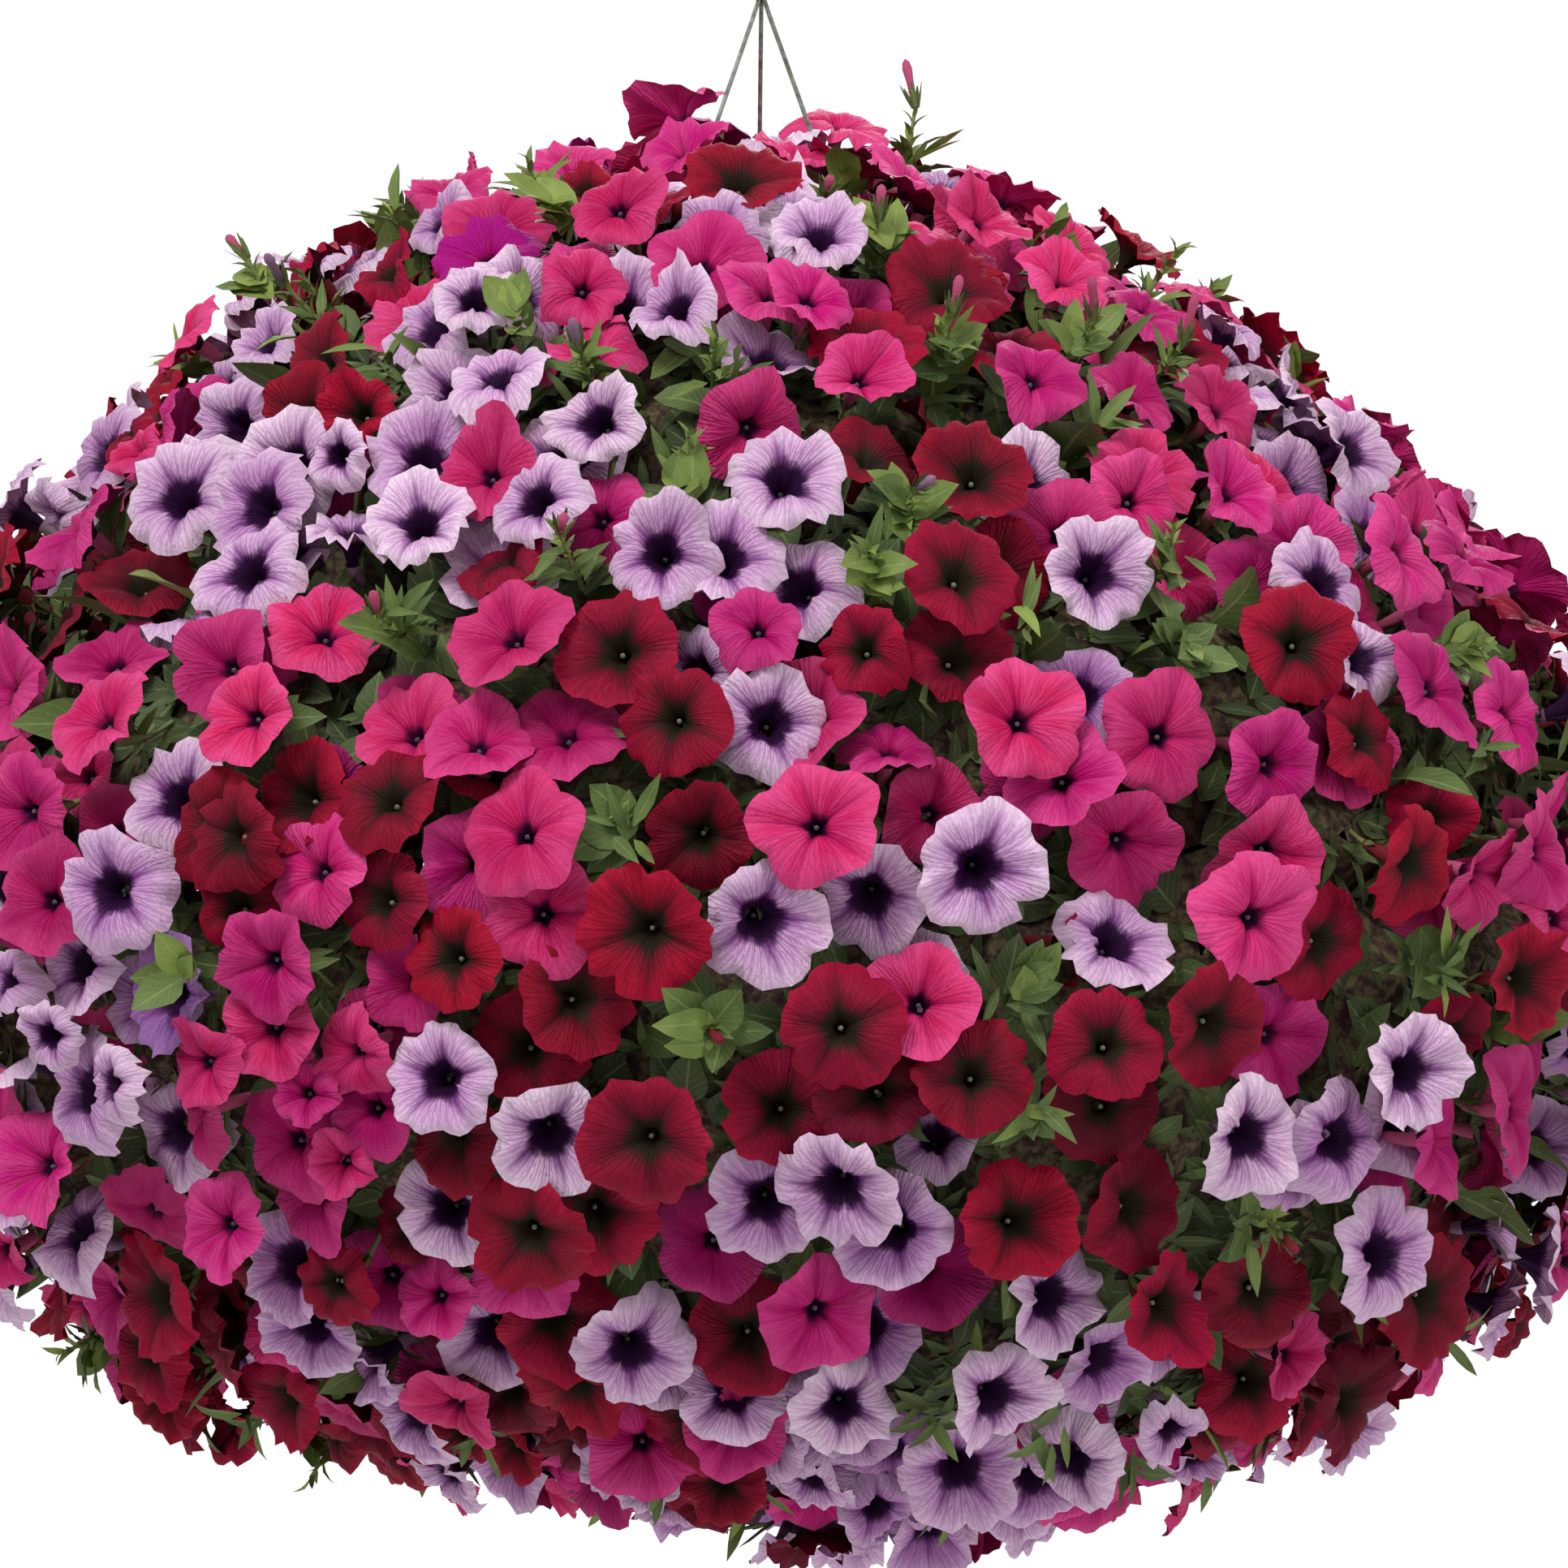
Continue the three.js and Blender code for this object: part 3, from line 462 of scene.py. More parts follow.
# Drifts of one colour keep most of their blooms, and some are drawn again
bloomMix = {
    "drawnAgain": 0.34, "shares": {"pink": 0.58, "red": 0.16, "violet": 0.26},
    "crownLowness": 0.08, "crownPink": 0.9, "oddShare": 0.02, "oddTone": 1.4,
    # The low-down share of the tone darkens blooms lower down: painted shade
    "spread": 0.62, "lowShade": 0.33,  # of the tone
}


def drawColour():
    return str(rng.choice(colourNames, p=[bloomMix["shares"][name] for name in colourNames]))


def mixColours(blooms):
    for bloom in blooms:
        if lowness(bloom["centre"]) < bloomMix["crownLowness"] and rng.random() < bloomMix["crownPink"]:
            bloom["colour"] = "pink"
        elif rng.random() < bloomMix["drawnAgain"]:
            bloom["colour"] = drawColour()


# Hidden blooms lie in the gaps, in one layer behind another; each try is smaller and deeper. Each layer's
# tone is darkened as painted shade, the inner layer most
hiddenLayers = [
    {"share": 0.72, "sinkMm": (3, 14), "radiusMm": (25.5, 19.5), "segments": 32, "deeper": 0.08},
    {"share": 0.65, "sinkMm": (14, 26), "radiusMm": (25, 18), "segments": 24, "deeper": 0.32},
]
hiddenForm = {
    "tries": 12, "tilt": 0.28, "lastSink": 0.6, "shiftMm": 4, "tubeMm": 34, "straysShare": 0.3,
    "clearMm": 1.2, "apartMm": 17,
}


def bloomFits(bloom, discs, leaves):
    centre, clear = bloom["centre"], hiddenForm["clearMm"] * mm
    near = nearDiscs(discs, centre, clearForm["nearBloomMm"])
    nearLeaves = leaves[np.linalg.norm(leaves[:, 0] - centre, axis=1) < clearForm["nearBloomMm"] * mm]
    apart = np.linalg.norm(near["centre"] - centre, axis=1) > hiddenForm["apartMm"] * mm
    clearOfBlooms = clears(bloom["rim"], near, clear) and groupsClear(near["rim"], bloom, clear)
    return bool(np.all(apart)) and clearOfBlooms and groupsClear(nearLeaves, bloom, clear)


def hiddenBloom(gap, layer, discs, leaves):
    most, least = layer["radiusMm"]
    low, high = layer["sinkMm"]
    for share in np.linspace(0, 1, hiddenForm["tries"]):
        facing = unit(gap["facing"] + rng.normal(0, hiddenForm["tilt"], 3))
        sink = (low + (high - low) * rng.uniform(share * hiddenForm["lastSink"], 1)) * mm
        centre = gap["place"] - gap["outward"] * sink + rng.normal(0, hiddenForm["shiftMm"], 3) * mm
        bloom = {"centre": centre, "facing": facing, "radius": (most + (least - most) * share) * mm}
        bloom["rim"] = rimPoints(bloom)
        if bloomFits(bloom, discs, leaves):
            stray = rng.random() < hiddenForm["straysShare"]
            bloom["first"] = squareTo(facing)[0]
            bloom["root"] = centre - unit(gap["outward"] + facing) * hiddenForm["tubeMm"] * mm
            bloom["colour"] = drawColour() if stray else gap["colours"][rng.integers(3)]
            bloom.update(segments=layer["segments"], deeper=layer["deeper"], hidden=True)
            return bloom
    return None


def fillGaps(gaps, blooms, leaves):
    discs = discsOf(blooms)
    for layer in hiddenLayers:
        for gap in gaps:
            bloom = hiddenBloom(gap, layer, discs, leaves) if rng.random() < layer["share"] else None
            if bloom:
                gap["blooms"].append(bloom)
                discs = {key: np.concatenate([values, [bloom[key]]]) for key, values in discs.items()}
    return discs


# Leaves: folded along the midrib, pointed and a little wavy
leafForms = {
    "broad": {"lengthMm": (17, 29), "width": (0.46, 0.7), "swell": 0.75, "rows": 5, "fold": 0.3},
    "slim": {"lengthMm": (15, 26), "width": (0.2, 0.3), "swell": 0.85, "rows": 4, "fold": 0.4},
    "frame": {"swell": 0.75, "rows": 8, "fold": 0.3, "bend": 0.06, "tone": (0.4, 0.9)},
}


def leafSheet(root, tip, up, halfWidth, form, bend):
    share = np.linspace(0, 1, form["rows"] + 1)
    width = halfWidth * np.sin(math.pi * share ** 0.8) ** form["swell"]
    width[0], width[-1] = 0.12 * halfWidth, 0.02 * halfWidth
    along = tip - root
    side = unit(np.cross(along, up))
    lift = bend * np.linalg.norm(along) * (np.sin(math.pi * share) - 0.5 * share ** 2)
    spine = root + along * share[:, None] + up * lift[:, None]
    across = np.array([-1, 0, 1])
    edge = np.abs(across)[None, :] * width[:, None]
    wave = 0.12 * np.sin(share[:, None] * 9 + across[None, :] + rng.uniform(0, fullTurn)) * edge
    points = spine[:, None, :] + (across[None, :] * width[:, None])[..., None] * side
    return points + (form["fold"] * edge + wave)[..., None] * up, share


def addLeaf(heap, sheet, share, tone):
    addGrid(heap, sheet, False, share, np.array([0, 0.5, 1]), tone)


def leafCorners(leaf):
    middle = (leaf["left"] + leaf["right"]) / 2
    return [middle, leaf["tip"], leaf["left"], leaf["right"], leaf["root"]]


def addFrameLeaf(heap, leaf):
    form = leafForms["frame"]
    across = leaf["left"] - leaf["right"]
    up = unit(np.cross(across, leaf["tip"] - leaf["root"]))
    if up[2] < 0:
        up = -up
    sheet, share = leafSheet(leaf["root"], leaf["tip"], up, np.linalg.norm(across) / 2, form, form["bend"])
    addLeaf(heap, sheet, share, rng.uniform(*form["tone"]))


# Tufts of small leaves stand in the gaps, behind the blooms and all over the core
tuftForm = {
    # The low tone loss darkens leaves lower down: painted shade
    "broadShare": 0.4, "scatterMm": 3, "toneSpread": 0.12, "gapTone": 0.6, "lowShadeLoss": 0.25,
    "tries": 6, "smallest": 0.6, "uplift": 0.2, "bend": (-0.05, 0.12), "clearMm": 1,
    # Deeper levels take darker tones: painted shade
    "levels": [(10, 5, (0.2, 1.1), 0.1), (18, 4, (0.1, 0.7), -0.05), (26, 3, (0.0, 0.4), -0.2)],
    "surface": (3, 5, (0.3, 1.1), 0.25), "surfaceShare": 0.9,  # of the gaps without a bloom
    "behindBloom": (20, 3, (-0.1, 0.4), 0.4),
}


def drawLeafKind():
    return "broad" if rng.random() < tuftForm["broadShare"] else "slim"


# Tries a few leaf directions and keeps the first that clears the blooms
def addFreeLeaf(heap, discs, root, outward, rise, kind, tone, mayCover=False):
    form = leafForms[kind]
    near = nearDiscs(discs, root, clearForm["nearLeafMm"])
    sides = squareTo(outward)
    for shrink in np.linspace(1, tuftForm["smallest"], tuftForm["tries"]):
        out = turnedTo(sides, rng.uniform(0, fullTurn))
        along = unit(out + outward * rng.uniform(*rise) + np.array([0, 0, tuftForm["uplift"]]))
        length = rng.uniform(*form["lengthMm"]) * shrink * mm
        up = unit(np.cross(np.cross(along, outward), along))
        halfWidth = length * rng.uniform(*form["width"]) / 2
        bend = rng.uniform(*tuftForm["bend"])
        sheet, share = leafSheet(root, root + along * length, up, halfWidth, form, bend)
        if clears(sheet.reshape(-1, 3), near, tuftForm["clearMm"] * mm, mayCover):
            addLeaf(heap, sheet, share, tone)
            return


# A level gives the tuft's depth in mm, its leaves, how far they rise and its change of tone: painted shade
# that darkens the deeper levels
def addTuft(heap, discs, place, back, outward, level, tone, mayCover=False):
    depth, count, rise, depthShade = level
    base = place - back * depth * mm
    kind = drawLeafKind()
    for _ in range(count):
        root = base + rng.normal(0, tuftForm["scatterMm"], 3) * mm
        leafTone = tone + depthShade + rng.normal(0, tuftForm["toneSpread"])
        addFreeLeaf(heap, discs, root, outward, rise, kind, leafTone, mayCover)


# Shoot tips stand out past the blooms, with slim leaves and often a closed, furled bud
sprigForm = {
    "share": 0.8,  # of the gaps without a bloom, fewer low down
    "startMm": 30, "reachMm": (4, 24), "sway": 0.25, "uplift": 0.15, "bendMm": 3,
    "stemMm": [1.3, 1.2, 1.1, 0.9, 0.7],
    "leaves": 11, "lowestLeaf": 0.45, "leafTurn": 2.4, "leafMm": (9, 18), "shrink": (1.2, 0.5),
    "leafWidth": 0.15, "leafTone": (0.6, 1.0), "budShare": 0.5, "budSway": 0.3,
}
budForm = {
    "lengthMm": (12, 24), "tone": (0.3, 1),
    # share of the length, radius in mm
    "steps": [(0, 0.9), (0.25, 1.5), (0.55, 1.7), (0.8, 2.3), (0.93, 1.7), (1, 0.2)],
}


def addSprig(greens, petals, discs, gap):
    lift = np.array([0, 0, sprigForm["uplift"]])
    outward = unit(gap["outward"] + rng.normal(0, sprigForm["sway"], 3) + lift)
    start = gap["place"] - gap["outward"] * sprigForm["startMm"] * mm
    end = gap["place"] + outward * rng.uniform(*sprigForm["reachMm"]) * mm
    middle = (start + end) / 2 + rng.normal(0, sprigForm["bendMm"], 3) * mm
    near = nearDiscs(discs, gap["place"], clearForm["nearLeafMm"])
    radii = np.array(sprigForm["stemMm"]) * mm
    route = [bezier(start, middle, end, share) for share in np.linspace(0, 1, len(radii))]
    if not clears(np.array(route[2:]), near, clear=1 * mm):
        return
    addTube(greens, route, radii, 5, np.full(len(radii), -0.5), tone=0.8)
    for k in range(sprigForm["leaves"]):
        addSprigLeaf(greens, near, (start, middle, end), outward, k)
    if rng.random() < sprigForm["budShare"]:
        addBud(greens, petals, end, unit(outward + rng.normal(0, sprigForm["budSway"], 3)))


# Leaves wind up the shoot and get smaller
def addSprigLeaf(greens, near, curve, outward, k):
    lowest, (most, loss) = sprigForm["lowestLeaf"], sprigForm["shrink"]
    share = lowest + (1 - lowest) * k / (sprigForm["leaves"] - 1)
    root = bezier(*curve, share)
    out = turnedTo(squareTo(outward), sprigForm["leafTurn"] * k)
    along = unit(out + outward * (0.5 + share))
    length = rng.uniform(*sprigForm["leafMm"]) * (most - loss * share) * mm
    up = unit(np.cross(np.cross(along, outward), along))
    halfWidth = sprigForm["leafWidth"] * length
    sheet, shares = leafSheet(root, root + along * length, up, halfWidth, leafForms["slim"], bend=0.1)
    if clears(sheet.reshape(-1, 3), near, clear=0.5 * mm):
        addLeaf(greens, sheet, shares, rng.uniform(*sprigForm["leafTone"]))


def addBud(greens, petals, root, towards):
    length = rng.uniform(*budForm["lengthMm"]) * mm
    middles = [root + towards * share * length for share, _ in budForm["steps"]]
    radii = np.array([radius for _, radius in budForm["steps"]]) * mm
    addTube(petals, middles, radii, 7, np.linspace(-0.9, -0.3, len(radii)), rng.uniform(*budForm["tone"]))
    addCalyx(greens, root, towards)


# The CAD spray's own core and shoot, drawn in a little so that short leaves can cover it
coreForm = {
    "insetMm": 6, "widen": 0.03, "tone": 0.1,
    # The carpet leaves' low tones are painted shade deep inside the mass
    "leafAreaMm": 150, "leastFacing": 0.3, "rise": (0.05, 0.7), "leafTone": (-0.1, 0.5),
}


def addCore(heap, spray):
    used, corners = np.unique(spray["core"], return_inverse=True)
    points = spray["points"][used]
    points = points + unit(basket["centre"] - points) * coreForm["insetMm"] * mm
    points = points + (points - points.mean(0)) * coreForm["widen"]
    corners = corners.reshape(-1, 3)
    addFaces(heap, points, corners, np.full((len(corners), 3, 2), (0.5, markedGrowth)), coreForm["tone"])
    return points[corners]


# Leaves cover the core's outer faces, as many as their area takes; their low tones paint shade deep inside
# the mass
def addCarpet(heap, discs, triangles):
    for corners in triangles:
        square = np.cross(corners[1] - corners[0], corners[2] - corners[0])
        outward = unit(corners.mean(0) - basket["centre"])
        if unit(square) @ outward < coreForm["leastFacing"]:
            continue
        area = np.linalg.norm(square) / 2
        for _ in range(math.ceil(area / (coreForm["leafAreaMm"] * mm * mm))):
            root = rng.dirichlet((1, 1, 1)) @ corners
            kind, tone = drawLeafKind(), rng.uniform(*coreForm["leafTone"])
            addFreeLeaf(heap, discs, root, outward, coreForm["rise"], kind, tone)


# Dressing the sprays ring by ring, with one piece for each bloom colour and one for the foliage
def dressSpray(heaps, greens, discs, spray):
    addCarpet(greens, discs, addCore(greens, spray))
    for bloom in spray["blooms"]:
        addBloom(heaps[bloom["colour"]], greens, bloom)
        outward = unit(bloom["centre"] - basket["centre"])
        addTuft(greens, discs, bloom["centre"], bloom["facing"], outward, tuftForm["behindBloom"], tone=0)
    for leaf in spray["leaves"]:
        addFrameLeaf(greens, leaf)


def dressGap(heaps, greens, discs, gap):
    for bloom in gap["blooms"]:
        addBloom(heaps[bloom["colour"]], greens, bloom)
    place, outward = gap["place"], gap["outward"]
    # Gap leaves are painted darker lower down, as painted shade
    tone = tuftForm["gapTone"] - tuftForm["lowShadeLoss"] * lowness(place)
    for level in tuftForm["levels"]:
        addTuft(greens, discs, place, outward, outward, level, tone)
    if gap["blooms"]:
        return
    if rng.random() < tuftForm["surfaceShare"]:
        addTuft(greens, discs, place, outward, outward, tuftForm["surface"], tone, mayCover=True)
    if rng.random() < sprigForm["share"] * (1 - lowness(place)):
        addSprig(greens, heaps[gap["colours"][0]], discs, gap)


def dressRing(name, ring, gaps, discs, paint):
    heaps = {colour: newHeap() for colour in colourNames}
    greens = newHeap()
    for spray in ring:
        dressSpray(heaps, greens, discs, spray)
    for gap in gaps:
        if gap["ring"] == name:
            dressGap(heaps, greens, discs, gap)
    nodes = [spray["node"] for spray in ring]
    triangles = 0
    for colour, heap in heaps.items():
        triangles += makePiece(f"blooms_{name}_{colour}", heap, paint[colour], nodes)
    return triangles + makePiece(f"foliage_{name}", greens, paint["foliage"], nodes)


# Shader helpers
def newMaterial(name):
    material = bpy.data.materials.new(name)
    material.use_nodes = True
    return material, material.node_tree, material.node_tree.nodes["Principled BSDF"]


def put(tree, kind, **settings):
    node = tree.nodes.new(kind)
    for key, value in settings.items():
        setattr(node, key, value)
    return node


def feed(tree, socket, value):
    if isinstance(value, bpy.types.NodeSocket):
        tree.links.new(value, socket)
    else:
        socket.default_value = value


def maths(tree, operation, *values, clamp=False):
    node = put(tree, "ShaderNodeMath", operation=operation, use_clamp=clamp)
    for socket, value in zip(node.inputs, values):
        feed(tree, socket, value)
    return node.outputs[0]


def times(tree, first, second):
    return maths(tree, "MULTIPLY", first, second)


def ramp(tree, value, low, high, start=0.0, end=1.0):
    node = put(tree, "ShaderNodeMapRange", interpolation_type="SMOOTHSTEP")
    names = ("Value", "From Min", "From Max", "To Min", "To Max")
    for name, item in zip(names, (value, low, high, start, end)):
        feed(tree, node.inputs[name], item)
    return node.outputs["Result"]


def mix(tree, factor, first, second):
    node = put(tree, "ShaderNodeMix", data_type="RGBA")
    feed(tree, node.inputs["Factor"], factor)
    feed(tree, node.inputs["A"], first)
    feed(tree, node.inputs["B"], second)
    return node.outputs["Result"]


def noise(tree, vector, scale, detail=3.0, rough=0.55):
    node = put(tree, "ShaderNodeTexNoise")
    feed(tree, node.inputs["Vector"], vector)
    node.inputs["Scale"].default_value = scale
    node.inputs["Detail"].default_value = detail
    node.inputs["Roughness"].default_value = rough
    return node.outputs["Fac"]


def addBump(tree, shader, height, strength, distanceMm):
    bump = put(tree, "ShaderNodeBump")
    bump.inputs["Strength"].default_value = strength
    bump.inputs["Distance"].default_value = distanceMm * mm
    feed(tree, bump.inputs["Height"], height)
    feed(tree, shader.inputs["Normal"], bump.outputs["Normal"])


def objectPlace(tree):
    return put(tree, "ShaderNodeTexCoord").outputs["Object"]


def growthAndTone(tree):
    growth = put(tree, "ShaderNodeUVMap", uv_map="growth").outputs["UV"]
    tone = put(tree, "ShaderNodeAttribute", attribute_name="tone").outputs["Fac"]
    return growth, tone


# Masks of growth Y: it is below 0 on tubes and stalks, and markedGrowth on knobs and cores
def stalkMask(tree, growth):
    return ramp(tree, growth, -0.1, 0.0, start=1.0, end=0.0)


def markMask(tree, growth):
    return ramp(tree, growth, 1.4, 1.6)


# Colour from screen values of 0 to 255
def screen(red, green, blue):
    linear = [((c / 255 + 0.055) / 1.055) ** 2.4 if c > 10 else c / 255 / 12.92 for c in (red, green, blue)]
    return (*linear, 1.0)


def screenColours(finish):
    return {key: screen(*value) for key, value in finish.items() if isinstance(value, tuple)}


def newGroup(name, inputs, outputs):
    group = bpy.data.node_groups.new(name, "ShaderNodeTree")
    for socketName, value in inputs.items():
        kind = "NodeSocketFloat" if isinstance(value, float) else "NodeSocketVector"
        socket = group.interface.new_socket(socketName, in_out="INPUT", socket_type=kind)
        socket.default_value = value
    for socketName in outputs:
        group.interface.new_socket(socketName, in_out="OUTPUT", socket_type="NodeSocketFloat")
    return group, group.nodes.new("NodeGroupInput").outputs, group.nodes.new("NodeGroupOutput").inputs


def useGroup(tree, group, **values):
    node = put(tree, "ShaderNodeGroup", node_tree=group)
    for name, value in values.items():
        feed(tree, node.inputs[name], value)
    return node.outputs


# Petal zones: growth X counts lobes round the bloom, growth Y runs from throat to rim. Throat and
# glow have points at the midribs.
zoneForm = {"raySharpness": 2.4, "wobble": 0.18, "throatSoft": 0.16, "rimEnd": 1.02}


def buildPetalZones():
    group, inputs, outputs = newGroup(
        "petalZones", {"Map": (0, 0, 0), "Throat": 0.2, "Star": 0.1, "Glow": 0.3, "Rays": 0.3, "Rim": 0.85},
        ["Throat Mask", "Glow Mask", "Rim Mask", "Lobe", "Out", "Around"])
    split = put(group, "ShaderNodeSeparateXYZ")
    feed(group, split.inputs[0], inputs["Map"])
    around, out = split.outputs["X"], split.outputs["Y"]
    lobe = maths(group, "SUBTRACT", maths(group, "FRACT", maths(group, "ADD", around, 0.5)), 0.5)
    toNotch = times(group, maths(group, "ABSOLUTE", lobe), 2.0)
    ray = maths(group, "POWER", maths(group, "SUBTRACT", 1.0, toNotch), zoneForm["raySharpness"])
    rough = noise(group, objectPlace(group), scale=300, detail=4.0)
    wobble = maths(group, "MULTIPLY_ADD", rough, zoneForm["wobble"], -zoneForm["wobble"] / 2)
    edge = maths(group, "ADD", maths(group, "MULTIPLY_ADD", ray, inputs["Star"], inputs["Throat"]), wobble)
    throatEnd = maths(group, "ADD", edge, zoneForm["throatSoft"])
    glowEnd = maths(group, "ADD", maths(group, "MULTIPLY_ADD", ray, inputs["Rays"], edge), inputs["Glow"])
    rimPlace = maths(group, "ADD", out, wobble)
    feed(group, outputs["Throat Mask"], ramp(group, out, edge, throatEnd, start=1.0, end=0.0))
    feed(group, outputs["Glow Mask"], ramp(group, out, edge, glowEnd, start=1.0, end=0.0))
    feed(group, outputs["Rim Mask"], ramp(group, rimPlace, inputs["Rim"], zoneForm["rimEnd"]))
    feed(group, outputs["Lobe"], lobe)
    feed(group, outputs["Out"], out)
    feed(group, outputs["Around"], around)
    return group


# Veins: a fan of fine lines in each lobe that wander, and fork towards the rim
veinForm = {"sharpness": 7.0, "forkSharpness": 5.0, "forkSway": -2.6, "forkShare": 0.8, "midrib": 0.006}


def lineCrests(group, phase, sharpness):
    crest = maths(group, "ABSOLUTE", maths(group, "COSINE", times(group, phase, math.pi)))
    return maths(group, "POWER", crest, sharpness)


# Painted highlight streaks: noise drawn out from throat to rim, another one for each seed, standing in for
# light caught on the petal's folds
def petalStreaks(group, around, out, seed):
    place = put(group, "ShaderNodeCombineXYZ")
    for axis, value, stretch in (("X", around, 2.6), ("Y", out, 0.9), ("Z", seed, 90.0)):
        feed(group, place.inputs[axis], times(group, value, stretch))
    return ramp(group, noise(group, place.outputs["Vector"], scale=1.0, detail=2.0), 0.3, 0.7)


def buildPetalVeins():
    group, inputs, outputs = newGroup(
        "petalVeins", {"Lobe": 0.0, "Out": 0.0, "Around": 0.0, "Seed": 0.0, "Lines": 7.0, "Wander": 0.8},
        ["Veins", "Midrib", "Streaks"])
    rough = noise(group, objectPlace(group), scale=190, detail=2.0)
    sway = times(group, maths(group, "SUBTRACT", rough, 0.5), inputs["Wander"])
    fan = times(group, inputs["Lobe"], inputs["Lines"])
    forkSway = times(group, sway, veinForm["forkSway"])
    forkPhase = maths(group, "ADD", times(group, fan, 2.0), forkSway)
    lines = lineCrests(group, maths(group, "ADD", fan, sway), veinForm["sharpness"])
    forks = lineCrests(group, forkPhase, veinForm["forkSharpness"])
    forks = times(group, forks, ramp(group, inputs["Out"], 0.3, 0.6, end=veinForm["forkShare"]))
    fromMidrib = times(group, inputs["Lobe"], inputs["Lobe"])
    feed(group, outputs["Veins"], maths(group, "MAXIMUM", lines, forks))
    feed(group, outputs["Midrib"], ramp(group, fromMidrib, 0.0, veinForm["midrib"], start=1.0, end=0.0))
    feed(group, outputs["Streaks"], petalStreaks(group, inputs["Around"], inputs["Out"], inputs["Seed"]))
    return group


# reach: where the throat, its star, its glow, the glow's rays and the rim begin or end
# The deep colour is the petal's darker tone for blotches and random spread, and also painted shade on blooms
# low down and further in
petalFinish = {
    "pink": {
        "limb": (219, 13, 134), "warm": (230, 32, 92), "deep": (139, 5, 82), "rim": (239, 94, 160),
        "glow": (168, 0, 88), "throat": (52, 8, 50), "vein": (154, 0, 80), "tube": (206, 92, 132),
        "odd": (176, 4, 136), "knob": (150, 124, 148),
        "rimShare": 0.45, "veinShare": 0.6, "glowShare": 0.75, "midribShare": 0.5, "highlightStreakShare": 0.6,
        "reach": {"Throat": 0.13, "Star": 0.05, "Glow": 0.22, "Rays": 0.5, "Rim": 0.55}, "roughness": 0.55,
    },
    "red": {
        "limb": (166, 8, 42), "warm": (174, 8, 62), "deep": (84, 12, 34), "rim": (188, 22, 60),
        "glow": (80, 18, 30), "throat": (44, 34, 24), "vein": (84, 10, 24), "tube": (132, 40, 54),
        "odd": (112, 10, 44), "knob": (188, 192, 176),
        "rimShare": 0.5, "veinShare": 0.7, "glowShare": 0.95, "midribShare": 0.35, "highlightStreakShare": 0.3,
        "reach": {"Throat": 0.28, "Star": 0.08, "Glow": 0.38, "Rays": 0.3, "Rim": 0.72}, "roughness": 0.6,
    },
    "violet": {
        "limb": (236, 184, 230), "warm": (238, 196, 228), "deep": (184, 120, 184), "rim": (250, 228, 244),
        "glow": (112, 40, 120), "throat": (46, 14, 54), "vein": (112, 48, 126), "tube": (158, 122, 152),
        "odd": (158, 108, 176), "knob": (112, 104, 112),
        "rimShare": 0.75, "veinShare": 0.75, "glowShare": 0.9, "midribShare": 0.85, "highlightStreakShare": 0.35,
        "reach": {"Throat": 0.34, "Star": 0.03, "Glow": 0.16, "Rays": 0.4, "Rim": 0.6}, "roughness": 0.55,
    },
}
petalGrain = {
    "blotchShare": 0.5, "toneStart": 0.35, "deepRimLoss": 0.6, "oddShare": 0.85, "specular": 0.12,
    "veinDepth": -0.9,
}


# The limb's colour: warm or cool, deeper in blotches, darker with painted shade on low and inner blooms,
# lighter in painted highlight streaks, and paler at the rim
def limbColour(tree, finish, paint, zone, highlightStreaks, tone, blotch):
    start = maths(tree, "SUBTRACT", tone, petalGrain["toneStart"])
    depth = maths(tree, "MULTIPLY_ADD", blotch, petalGrain["blotchShare"], start, clamp=True)
    draw = maths(tree, "FRACT", times(tree, tone, 37.0))  # evenly from 0 to 1
    base = mix(tree, ramp(tree, draw, 0.2, 0.8), paint["limb"], paint["warm"])
    # Depth holds random blotches and tone, and painted shade on low and inner blooms
    base = mix(tree, depth, base, paint["deep"])
    # Pale streaks are painted highlight for light caught on the folds; they mix towards the rim colour
    highlightAmount = times(tree, highlightStreaks, maths(tree, "SUBTRACT", 1.0, depth))
    base = mix(tree, times(tree, highlightAmount, finish["highlightStreakShare"]), base, paint["rim"])
    deepLoss = -petalGrain["deepRimLoss"] * finish["rimShare"]
    rimShare = maths(tree, "MULTIPLY_ADD", depth, deepLoss, finish["rimShare"])
    base = mix(tree, times(tree, zone["Rim Mask"], rimShare), base, paint["rim"])
    return mix(tree, ramp(tree, tone, 1.1, 1.3, end=petalGrain["oddShare"]), base, paint["odd"])


def veinedColour(tree, base, finish, paint, zone, line):
    fade = ramp(tree, zone["Out"], 0.2, 1.05, start=finish["veinShare"], end=0.15)
    base = mix(tree, times(tree, line["Veins"], fade), base, paint["vein"])
    fade = ramp(tree, zone["Out"], 0.2, 0.95, start=finish["midribShare"], end=0.1)
    return mix(tree, times(tree, line["Midrib"], fade), base, paint["vein"])


